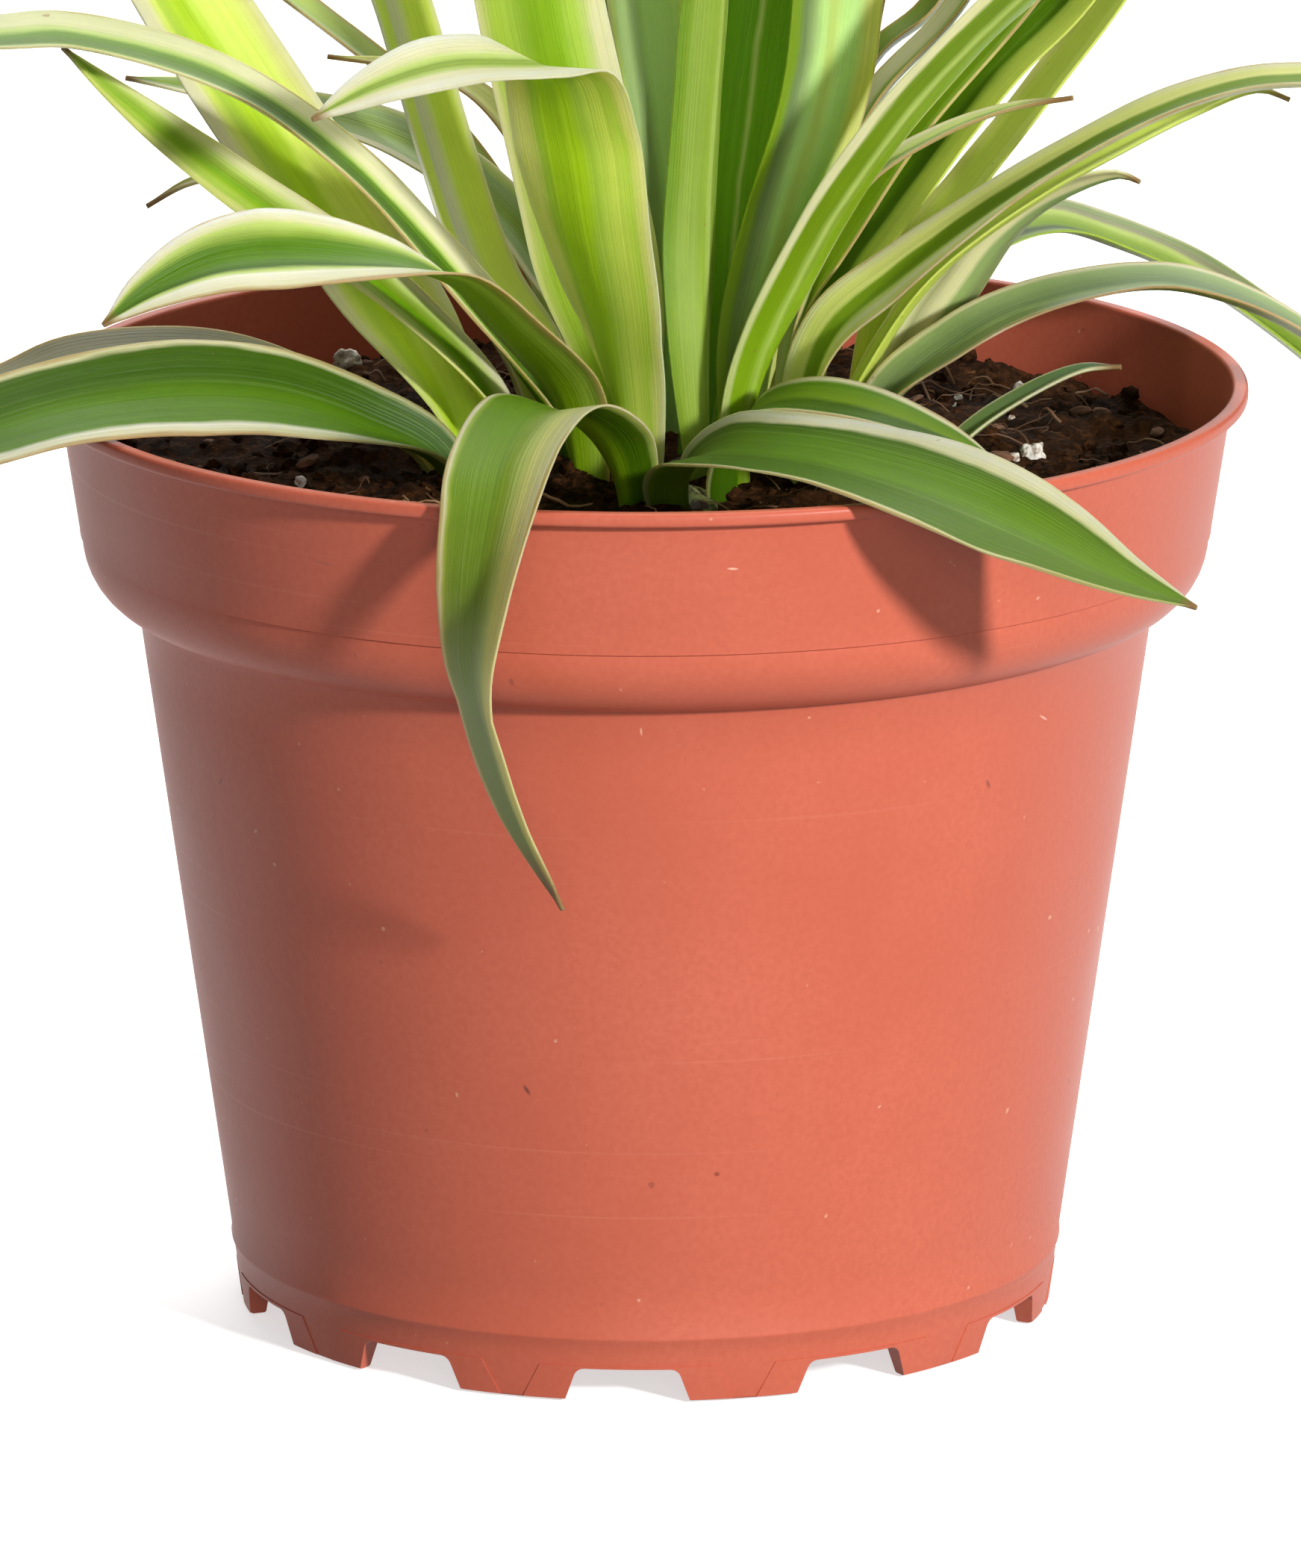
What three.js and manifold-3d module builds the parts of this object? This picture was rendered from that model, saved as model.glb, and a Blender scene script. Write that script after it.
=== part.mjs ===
// Spider plant in a round moulded plastic nursery pot, in millimetres, Z up.
// The origin is on the standing surface, under the middle of the pot. The front is towards -Y.

import * as THREE from 'three';
import { mergeVertices } from 'three/addons/utils/BufferGeometryUtils.js';
import Module from 'manifold-3d';

const wasm = await Module();
wasm.setup();

// Clearance between two pieces that touch on the real plant
const gap = 0.3;

// Pot: lip, upper band, rounded shoulder, tapered body, floor and foot ring
const lipRadius = 60;
const potHeight = 94;
const lipDepth = 1.4;
const lipWidth = 1.6;
const lipRounding = 0.4;
const wall = 1.0;
const bandTopRadius = 58.4;
const bandFootRadius = 56.2;
const bandFootHeight = 79.1;
const bodyTopRadius = 50.8;
const bodyTopHeight = 72.6;
const footRadius = 40.7;
const wallDraft = (bodyTopRadius - footRadius) / bodyTopHeight;
const footRingWall = 1.6;
const footRingDraft = 0.3;
const floorUnderside = 4.0;
const floorThickness = 1.2;
const potSides = 66;
const shoulderSteps = 4;

// Foot ring notches, wider at the bottom, with a drain hole in the floor behind each of them
const notchCount = 11;
const notchHeight = 3.4;
const notchTopWidth = 10;
const notchBottomWidth = 12.6;
const notchDepth = 6;
const cutOverrun = 1;
const firstNotchAngle = -92.5;
const drainHoleRadius = 2.8;
const drainCircleRadius = 33;
const drainHoleSides = 10;

// Soil: level at the pot wall, low mounds, and crumbs that stand out of it
const soilLevel = 86.2;
const soilSides = 40;
const soilRings = 7;
const moundHeight = 1.1;
const crumbCount = 28;

// Crown: the clump's thick leaf bases, grown together, as [x, y, radius] of each growing point,
// and the height up to which the soil and the crown are cut clear of the leaves
const crownFloor = 72;
const crownTop = 88.4;
const crownRounding = 4;
const crownSides = 14;
const holeTop = 93;
const growingPoints = [
  [-15.5, -10.5, 8],
  [-4, -6, 9],
  [6, -7.5, 9],
  [3.5, -21.5, 8],
  [17.5, -8, 8.5],
  [-4.5, 8.5, 9],
  [8, 9, 9],
  [18.5, 6.5, 7],
];

// Blades
const bladeThickness = 0.7;
const tipWidth = 0.9;
const baseShare = 0.42;
const baseFold = 52;
const openingLength = 30;
const stationSpacing = 9.5;

// Each leaf: name, widest width, the share of its length where it starts to narrow, the fold of the
// blade along its midrib in degrees, its roll in degrees at even steps from root to tip, its path
// from root to tip, and, where the blade doesn't face the way it grows, the heading that it faces.
const leaves = [
  {
    name: 'leaf_left_1', width: 13, full: 0.45, fold: 14, roll: [-20, -36, -12, 0, 0],
    path: [[-16, -14, 80], [-20, -14.5, 89.5], [-27, -17, 93.5], [-37.5, -20, 96.8],
      [-48.5, -23, 97.5], [-63, -28, 95.5], [-95, -36, 82], [-120, -43, 60], [-132, -47, 38]],
  },
  {
    name: 'leaf_left_2', width: 10, full: 0.45, fold: 14, roll: [-21, -14, -12, 0, 0],
    path: [[-19.5, -8.5, 80], [-21.5, -7.5, 87.5], [-27, -5.5, 91], [-42, -2, 96.5],
      [-56.5, -3, 96.5], [-64, -5, 94], [-92, -8, 84], [-112, -11, 66], [-120, -12, 54]],
  },
  {
    name: 'leaf_left_3', width: 12, full: 0.62, fold: 14, roll: [0, 12, 0, -38, -45],
    path: [[-5, -12.5, 80], [-7.5, -14.5, 95], [-13.5, -19.5, 103.5], [-19.5, -24, 110],
      [-30, -29.5, 113], [-41, -34, 113.5], [-48, -37, 111], [-52.5, -39, 108]],
  },
  {
    name: 'leaf_left_4', width: 9, full: 0.5, fold: 16, roll: [-20, -20, -27, -35, -40],
    path: [[-11, -7.5, 80], [-15, -8.5, 93.5], [-26, -10, 105.5], [-39.5, -13, 115.5],
      [-53, -16, 127], [-57, -17, 131]],
  },
  {
    name: 'leaf_left_5', width: 10, full: 0.5, fold: 16, roll: [-35, -18, -4, 0, 0],
    path: [[-6.5, -5.5, 80], [-8, -4.5, 90], [-12, -4, 96.5], [-19.5, -6, 106.5], [-30.5, -9, 118.8],
      [-41.5, -13, 127], [-56, -19, 132.4], [-63, -22, 132.9], [-92, -27, 131.4], [-122, -33, 118],
      [-145, -37, 94], [-155, -39, 74]],
  },
  {
    name: 'leaf_left_6', width: 12.5, full: 0.5, fold: 12, roll: [-25, -38, -15, 0, 0],
    path: [[-15.5, -7.5, 80], [-18.5, -7, 91.5], [-26.5, 0, 103.5], [-36, 5, 116.5],
      [-45.5, 9, 130.5], [-64, 14, 160], [-88, 21, 183], [-115, 29, 192], [-139, 35, 182],
      [-155, 40, 160]],
  },
  {
    name: 'leaf_left_7', width: 10, full: 0.5, fold: 20, roll: [-8, -12, -5, 0],
    path: [[-6, 0, 80], [-7, 1.5, 88.5], [-11, 5, 96], [-16, 8, 102.5], [-25, 13, 130],
      [-34, 18, 162], [-47, 23, 192], [-66, 30, 212], [-88, 38, 215], [-106, 44, 202]],
  },
  {
    name: 'leaf_front_1', width: 13, full: 0.6, fold: 10, roll: [-35, -28, 8, -18, -13], heading: 250,
    path: [[-0.6, -10.8, 80], [-0.8, -10.8, 88.5], [-3, -13, 101.5], [-5.5, -17, 113.5],
      [-7, -21.5, 123], [-9, -29, 131.5], [-12.5, -34, 133], [-19, -38, 133.5], [-26, -42, 132],
      [-32, -45, 129.5]],
  },
  {
    name: 'leaf_front_2', width: 13, full: 0.6, fold: 12, roll: [15, 15, 15, 25, 10],
    path: [[3.5, -25.5, 80], [3, -26, 86], [3, -29, 91], [5.5, -33.5, 94.5], [10, -40, 96.3],
      [17, -47, 97], [24, -53, 96.5], [31, -58, 95], [38, -62, 92.5], [45, -66, 89.5],
      [52.5, -69, 87]],
  },
  {
    name: 'leaf_front_3', width: 9, full: 0.5, fold: 12, roll: [0, 15, 11, 8, 8],
    path: [[8.5, -19.5, 80], [8, -19.5, 87], [8.5, -20.5, 91.5], [10, -22.5, 95.5], [14, -26, 97.8],
      [20.5, -29, 97.8], [26.5, -32, 96.5], [34, -37, 94]],
  },
  {
    name: 'leaf_front_4', width: 12, full: 0.45, fold: 12, roll: [-30, -8, 12, 48, 28], heading: 252,
    path: [[-2, -23.5, 80], [-1.5, -24, 85.5], [-2, -28, 91], [-4.5, -35, 97], [-9.5, -44, 101],
      [-13, -54, 99], [-14.5, -60.5, 94.8], [-16, -64.5, 87], [-16.5, -65, 79.5], [-15, -64, 72],
      [-12.5, -62, 64.5], [-8, -58, 54.5]],
  },
  {
    name: 'leaf_up_1', width: 13, full: 0.5, fold: 10, roll: [0, 0, 0, 0], heading: 265,
    path: [[-2, -5, 80], [-2.5, -3, 95.5], [-5, -4, 107], [-8.5, -6, 124], [-10.5, -6, 133.5],
      [-15, -8, 166], [-21, -14, 196], [-30, -26, 224], [-42, -45, 240], [-55, -68, 240],
      [-68, -90, 224], [-78, -106, 200]],
  },
  {
    name: 'leaf_up_2', width: 11, full: 0.5, fold: 14, roll: [20, 25, 10, 0],
    path: [[1.5, 0.5, 80], [2.5, 4, 95.5], [1.5, 10, 115.5], [-0.5, 14, 129.5], [-5, 20, 162],
      [-10, 30, 192], [-17, 46, 216], [-25, 66, 228], [-33, 86, 222], [-40, 102, 202]],
  },
  {
    name: 'leaf_up_3', width: 8.5, full: 0.5, fold: 24, roll: [5, 15, 5, 0],
    path: [[6, -13.4, 80], [5.1, -11.8, 97], [5, -9.4, 111.5], [6.5, -8, 134], [9, -9, 166],
      [14, -12, 198], [22, -20, 226], [34, -34, 243], [50, -54, 244], [65, -74, 228],
      [76, -90, 204]],
  },
  {
    name: 'leaf_up_4', width: 12, full: 0.5, fold: 14, roll: [0, 27, 10, 0],
    path: [[4, -5, 80], [7.5, -2, 99], [9, 0, 115], [11.5, 3, 132], [17, 6, 164], [24, 11, 196],
      [34, 19, 224], [49, 31, 241], [68, 45, 241], [86, 58, 224]],
  },
  {
    name: 'leaf_up_5', width: 12, full: 0.5, fold: 16, roll: [-25, -27, -10, 0, 0],
    path: [[9, -8.3, 80], [11, -6.6, 98.5], [14, -6, 109.5], [18.5, -5, 125], [19.5, -5, 133.5],
      [22, -6, 164], [27, -9, 194], [36, -15, 220], [51, -24, 236], [70, -34, 235],
      [88, -43, 216], [98, -48, 196]],
  },
  {
    name: 'leaf_up_6', width: 11, full: 0.5, fold: 14, roll: [0, 0, 0],
    path: [[7.5, 4, 80], [10, 11, 104], [11, 20, 140], [13, 32, 176], [17, 49, 206], [22, 70, 220],
      [29, 89, 212], [34, 102, 190]],
  },
  {
    name: 'leaf_right_1', width: 9, full: 0.5, fold: 16, roll: [-22, -25, -15, 0],
    path: [[10, -14, 80], [9.5, -14.5, 93.5], [14.5, -15, 106.5], [22.5, -17, 120.5],
      [35.5, -19, 135.5], [56, -25, 152], [82, -31, 161], [109, -37, 156], [133, -43, 138],
      [146, -46, 118]],
  },
  {
    name: 'leaf_right_2', width: 7, full: 0.5, fold: 16, roll: [28, 18, 10, 0],
    path: [[13, -3.6, 80], [15, -2.4, 100.5], [19.5, -3, 108.5], [27.5, -3, 120.5], [37.5, -3, 132.5],
      [53, -5, 153], [73, -8, 170], [96, -11, 179], [118, -15, 176], [134, -18, 164]],
  },
  {
    name: 'leaf_right_3', width: 11, full: 0.5, fold: 16, roll: [23, 18, 10, 0],
    path: [[16, 2.5, 80], [18, 4, 100.5], [25, 5, 111.5], [35, 6, 124.5], [41.5, 7, 131],
      [60, 10, 154], [83, 14, 171], [109, 17, 177], [134, 22, 168], [155, 26, 146]],
  },
  {
    name: 'leaf_right_4', width: 8, full: 0.5, fold: 16, roll: [8, 3, 0, 0],
    path: [[19.5, 6.5, 80], [25, 9, 102], [33, 12, 112], [46.5, 16, 129], [62, 21, 152],
      [80, 26, 172], [102, 32, 184], [124, 38, 182], [140, 43, 168]],
  },
  {
    name: 'leaf_right_5', width: 4.5, full: 0.4, fold: 20, roll: [18, 18, 16],
    path: [[13.5, -9.6, 80], [14.6, -8.6, 101.5], [21.5, -8.2, 115.5], [28.5, -8.8, 120.5],
      [35.5, -10, 123.5], [42, -12, 125]],
  },
  {
    name: 'leaf_right_6', width: 10, full: 0.5, fold: 14, roll: [45, 8, -5, 0, 0],
    path: [[17, -14.2, 80], [15.6, -14.4, 94.5], [18.1, -14.5, 101.8], [24.5, -13.5, 107.3],
      [39.5, -13, 118], [54, -14, 125.5], [64.5, -15, 127.5], [94, -18, 124], [120, -21, 108],
      [140, -24, 84], [150, -26, 60]],
  },
  {
    name: 'leaf_right_7', width: 6, full: 0.5, fold: 18, roll: [5, 5, 8, 12],
    path: [[17.5, -5, 80], [20.5, -5, 93], [28.5, -6, 106], [39.5, -6, 114.5], [47, -7, 119],
      [54, -7, 122.5], [60.5, -8, 125], [63.5, -8, 124]],
  },
  {
    name: 'leaf_right_8', width: 9, full: 0.6, fold: 16, roll: [-25, -30, -40, -30, -25],
    path: [[21.5, -1, 80], [23, 1, 89.5], [27, 2, 96.5], [31.5, 2, 103], [35.5, 1.5, 108.5],
      [40.5, 0.5, 112.5], [47, -1, 115], [49, -2, 114.5]],
  },
  {
    name: 'leaf_right_9', width: 11, full: 0.5, fold: 16, roll: [9, 7, 20, 26, 10],
    path: [[20.5, 11.5, 80], [25.5, 16, 95.5], [32.5, 18, 103.5], [40.5, 22, 105.5], [48, 25, 103],
      [55.5, 28, 99], [66.5, 32, 90.5], [81, 36, 76], [91, 39, 56], [96, 41, 38]],
  },
  {
    name: 'leaf_right_10', width: 10, full: 0.5, fold: 14, roll: [25, 15, 3, -5, 0],
    path: [[21, -11.5, 80], [23, -11, 93.5], [30.5, -9.5, 99.8], [37.5, -7, 103], [49, -7, 105.5],
      [55.5, -8, 105], [65, -9, 101], [75, -10, 92], [84, -11, 80]],
  },
  {
    name: 'leaf_right_11', width: 4, full: 0.4, fold: 20, roll: [5, 8, 15],
    path: [[24, -12.5, 82], [31, -10.5, 90], [36, -9, 93.5], [43, -9, 97], [47, -10, 97.5]],
  },
  {
    name: 'leaf_right_12', width: 6, full: 0.5, fold: 18, roll: [0, 0, 0],
    path: [[11.5, 2, 80], [16, 5, 106.5], [22.5, 8, 120.5], [31.5, 10, 130.5], [42, 12.5, 152],
      [59, 17, 170], [78, 21, 178], [96, 25, 174]],
  },
  {
    name: 'leaf_right_13', width: 6, full: 0.5, fold: 18, roll: [-8, -8, 0],
    path: [[11, 8.5, 80], [15.5, 14, 108.5], [23, 17, 123.5], [29, 19, 128.5], [38, 23, 152],
      [53, 28, 173], [72, 34, 186], [90, 40, 184]],
  },
  {
    name: 'leaf_back_1', width: 10, full: 0.5, fold: 16, roll: [-5, -6, -10, -14],
    path: [[-2.5, 8.5, 80], [-4.5, 16, 93.5], [-10, 19.5, 101], [-14, 21, 106], [-24.5, 25, 113],
      [-42.5, 27, 117.5], [-52.5, 28, 119]],
  },
  {
    name: 'leaf_back_2', width: 6, full: 0.5, fold: 18, roll: [0, 0, 0],
    path: [[-6.5, 13.5, 80], [-12.5, 29, 101.5], [-20, 34, 112.5], [-35, 36, 125], [-50, 37, 135],
      [-67, 40, 139], [-84, 42, 134]],
  },
  {
    name: 'leaf_back_3', width: 5, full: 0.4, fold: 20, roll: [0, 0, -20],
    path: [[-8, 8.5, 80], [-8.5, 11, 100], [-11, 15, 112], [-16, 19, 118.5], [-22, 22, 121],
      [-32, 24, 122]],
  },
  {
    name: 'leaf_back_4', width: 5, full: 0.4, fold: 20, roll: [0, -3, -9, -25],
    path: [[-10, 4, 80], [-13.5, 7, 94.5], [-23.5, 10, 105.5], [-34.5, 12, 111], [-42, 13, 112],
      [-46, 14, 111], [-50, 15, 108.5]],
  },
  {
    name: 'leaf_back_5', width: 10, full: 0.5, fold: 16, roll: [0, 0, 0],
    path: [[1.5, 15.5, 80], [2, 25, 100], [-4, 34, 130], [-18, 45, 162], [-40, 62, 186],
      [-60, 84, 188], [-74, 98, 168]],
  },
  {
    name: 'leaf_back_6', width: 10, full: 0.5, fold: 16, roll: [0, 0, 0],
    path: [[2, 9, 80], [4, 16, 104], [5, 30, 128], [4, 50, 142], [0, 72, 138], [-3, 90, 116],
      [-5, 101, 86], [-6, 106, 54]],
  },
  {
    name: 'leaf_back_7', width: 10, full: 0.5, fold: 16, roll: [0, 0, 0],
    path: [[13, 13, 80], [17, 19, 104], [22, 28, 134], [34, 46, 160], [50, 68, 174],
      [66, 88, 166], [78, 102, 146]],
  },
  {
    name: 'leaf_back_8', width: 10, full: 0.5, fold: 16, roll: [0, 0, 0],
    path: [[8, 14, 80], [11, 25, 104], [14, 40, 126], [16, 58, 136], [18, 78, 130], [19, 94, 108],
      [19, 102, 78], [18, 105.9, 44]],
  },
];

const materials = {
  pot: new THREE.MeshStandardMaterial({ color: 0xc65f45, roughness: 0.5, metalness: 0 }),
  soil: new THREE.MeshStandardMaterial({ color: 0x2a1c14, roughness: 0.95, metalness: 0 }),
  crown: new THREE.MeshStandardMaterial({ color: 0x6d8a2c, roughness: 0.7, metalness: 0 }),
  leaf: new THREE.MeshStandardMaterial({ color: 0x5f9434, roughness: 0.5, metalness: 0 }),
};

const smooth = (x) => x * x * (3 - 2 * x);

// A closed geometry as a solid: shared vertices merged, triangles with no area left out
function solid(geometry) {
  const bare = geometry.clone();
  bare.deleteAttribute('normal');
  bare.deleteAttribute('uv');
  const merged = mergeVertices(bare, 1e-4);
  const corners = merged.index.array;
  const kept = [];
  for (let i = 0; i < corners.length; i += 3) {
    const [a, b, c] = [corners[i], corners[i + 1], corners[i + 2]];
    if (a !== b && b !== c && c !== a) kept.push(a, b, c);
  }
  return new wasm.Manifold(new wasm.Mesh({
    numProp: 3,
    vertProperties: new Float32Array(merged.attributes.position.array),
    triVerts: new Uint32Array(kept),
  }));
}

// The solid's largest body, without loose scraps
function largest(body) {
  const parts = body.decompose();
  parts.sort((a, b) => b.volume() - a.volume());
  return parts[0];
}

function mesh(name, body, material) {
  const data = body.getMesh();
  const geometry = new THREE.BufferGeometry();
  geometry.setAttribute('position', new THREE.BufferAttribute(data.vertProperties, 3));
  geometry.setIndex(new THREE.BufferAttribute(data.triVerts, 1));
  geometry.computeVertexNormals();
  const result = new THREE.Mesh(geometry, material);
  result.name = name;
  return result;
}

// A profile of [radius, height] turned round the Z axis. The profile runs up the outside and back
// down the inside, so that the faces point out.
function turned(profile, sides) {
  const points = profile.map(([radius, height]) => new THREE.Vector2(radius, height));
  const geometry = new THREE.LatheGeometry(points, sides);
  geometry.rotateX(Math.PI / 2);
  return solid(geometry);
}

// Inner radius of the pot at a height
function potInside(height) {
  const floorTop = floorUnderside + floorThickness;
  const steps = [
    [floorTop, footRadius + wallDraft * floorTop - wall],
    [bodyTopHeight, bodyTopRadius - wall],
    [bandFootHeight, bandFootRadius - wall],
    [potHeight, bandTopRadius - wall],
  ];
  for (let i = 1; i < steps.length; i += 1) {
    const [lowHeight, lowRadius] = steps[i - 1];
    const [highHeight, highRadius] = steps[i];
    if (height <= highHeight) {
      const share = (height - lowHeight) / (highHeight - lowHeight);
      return lowRadius + (highRadius - lowRadius) * share;
    }
  }
  return bandTopRadius - wall;
}

// Rounded shoulder under the band, as points from the body out to the band
function shoulder() {
  const across = bandFootRadius - bodyTopRadius;
  const up = bandFootHeight - bodyTopHeight;
  const points = [];
  for (let i = 0; i <= shoulderSteps; i += 1) {
    const turn = (i / shoulderSteps) * Math.PI / 2;
    points.push([bodyTopRadius + across * Math.sin(turn), bandFootHeight - up * Math.cos(turn)]);
  }
  return points;
}

function makePot() {
  const floorTop = floorUnderside + floorThickness;
  const ringInside = footRadius - footRingWall;
  let pot = turned([
    [0, floorUnderside],
    [ringInside - footRingDraft, floorUnderside],
    [ringInside, 0],
    [footRadius, 0],
    ...shoulder(),
    [bandTopRadius, potHeight - lipDepth],
    [lipRadius, potHeight - lipDepth],
    [lipRadius, potHeight - lipRounding],
    [lipRadius - lipRounding, potHeight],
    [lipRadius - lipWidth, potHeight],
    [potInside(bandFootHeight), bandFootHeight],
    [potInside(bodyTopHeight), bodyTopHeight],
    [potInside(floorTop), floorTop],
    [0, floorTop],
  ], potSides);

  for (let i = 0; i < notchCount; i += 1) {
    const angle = THREE.MathUtils.degToRad(firstNotchAngle + (i * 360) / notchCount);
    const outline = new THREE.Shape([
      new THREE.Vector2(-notchTopWidth / 2, notchHeight),
      new THREE.Vector2(-notchBottomWidth / 2, -cutOverrun),
      new THREE.Vector2(notchBottomWidth / 2, -cutOverrun),
      new THREE.Vector2(notchTopWidth / 2, notchHeight),
    ]);
    const notch = new THREE.ExtrudeGeometry(outline, { depth: notchDepth, bevelEnabled: false, steps: 1 });
    notch.rotateX(Math.PI / 2);
    notch.translate(0, footRadius + notchDepth / 2, 0);
    notch.rotateZ(angle - Math.PI / 2);
    pot = pot.subtract(solid(notch));

    const length = floorThickness + 2 * cutOverrun;
    const hole = new THREE.CylinderGeometry(drainHoleRadius, drainHoleRadius, length, drainHoleSides);
    hole.rotateX(Math.PI / 2);
    hole.translate(
      drainCircleRadius * Math.cos(angle),
      drainCircleRadius * Math.sin(angle),
      floorUnderside + floorThickness / 2,
    );
    pot = pot.subtract(solid(hole));
  }
  return pot;
}

// Height of the soil's surface: low mounds, a little higher towards the middle
function soilHeight(x, y) {
  const away = Math.hypot(x, y) / bandTopRadius;
  const mounds = Math.sin(0.21 * x + 0.6) * Math.cos(0.17 * y - 0.4) + 0.5 * Math.sin(0.43 * x - 0.31 * y);
  return soilLevel + 0.9 * (1 - away * away) + 0.45 * moundHeight * mounds;
}

// Same draws each time: a small seeded generator
function seeded(seed) {
  let state = seed;
  return () => {
    state = (state * 1664525 + 1013904223) % 4294967296;
    return state / 4294967296;
  };
}

function soilPoint(radius, angle) {
  const x = radius * Math.cos(angle);
  const y = radius * Math.sin(angle);
  return [x, y, soilHeight(x, y)];
}

function makeSoil() {
  const floorTop = floorUnderside + floorThickness;
  const edge = potInside(soilLevel) - gap;
  const sideHeights = [bandFootHeight, bodyTopHeight, floorTop + gap];
  const points = [[0, 0, soilHeight(0, 0)]];
  for (let ring = 1; ring <= soilRings; ring += 1) {
    for (let i = 0; i < soilSides; i += 1) {
      points.push(soilPoint((edge * ring) / soilRings, (i * 2 * Math.PI) / soilSides));
    }
  }
  for (const height of sideHeights) {
    for (let i = 0; i < soilSides; i += 1) {
      const angle = (i * 2 * Math.PI) / soilSides;
      const radius = potInside(height) - 2 * gap;
      points.push([radius * Math.cos(angle), radius * Math.sin(angle), height]);
    }
  }
  points.push([0, 0, floorTop + gap]);

  const faces = [];
  const at = (ring, i) => 1 + (ring - 1) * soilSides + (i % soilSides);
  const lastRing = soilRings + sideHeights.length;
  const bottom = points.length - 1;
  for (let i = 0; i < soilSides; i += 1) {
    faces.push(0, at(1, i), at(1, i + 1));
    for (let ring = 1; ring < lastRing; ring += 1) {
      faces.push(at(ring, i), at(ring + 1, i), at(ring + 1, i + 1));
      faces.push(at(ring, i), at(ring + 1, i + 1), at(ring, i + 1));
    }
    faces.push(bottom, at(lastRing, i + 1), at(lastRing, i));
  }
  const geometry = new THREE.BufferGeometry();
  geometry.setAttribute('position', new THREE.Float32BufferAttribute(points.flat(), 3));
  geometry.setIndex(faces);
  let soil = solid(geometry);

  const random = seeded(11);
  for (let i = 0; i < crumbCount; i += 1) {
    const radius = 14 + (edge - 18) * Math.sqrt(random());
    const angle = 2 * Math.PI * random();
    const size = 1 + 1.1 * random();
    const crumb = new THREE.IcosahedronGeometry(size, 0);
    crumb.scale(1, 0.7 + 0.3 * random(), 0.75);
    crumb.rotateZ(Math.PI * random());
    const [x, y, z] = soilPoint(radius, angle);
    crumb.translate(x, y, z - 0.1 * size);
    soil = soil.add(solid(crumb));
  }
  return largest(soil.subtract(crownClump(gap)).subtract(rootHoles()));
}

// The growing points' bases, grown together, or the hole for them with room all round
function crownClump(room) {
  let clump = null;
  for (const [x, y, radius] of growingPoints) {
    const r = radius + room;
    const base = turned([
      [0, crownFloor - room],
      [0.8 * r, crownFloor - room],
      [r, crownFloor + crownRounding],
      [r, crownTop - crownRounding],
      [0.7 * r, crownTop - 0.5 + room],
      [0, crownTop + room],
    ], crownSides).translate([x, y, 0]);
    clump = clump ? clump.add(base) : base;
  }
  return clump;
}

// Width of a leaf at a share of its length: narrow at the root, with a long fine tip
function widthAt(leaf, share, opened) {
  const grown = baseShare + (1 - baseShare) * opened;
  const past = Math.max(0, (share - leaf.full) / (1 - leaf.full));
  return Math.max(tipWidth, leaf.width * grown * (1 - past * past) ** 0.9);
}

function rollAt(leaf, share) {
  const steps = leaf.roll.length - 1;
  const place = Math.min(steps - 1e-9, share * steps);
  const below = Math.floor(place);
  const roll = leaf.roll[below] + (leaf.roll[below + 1] - leaf.roll[below]) * (place - below);
  return THREE.MathUtils.degToRad(roll);
}

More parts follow.
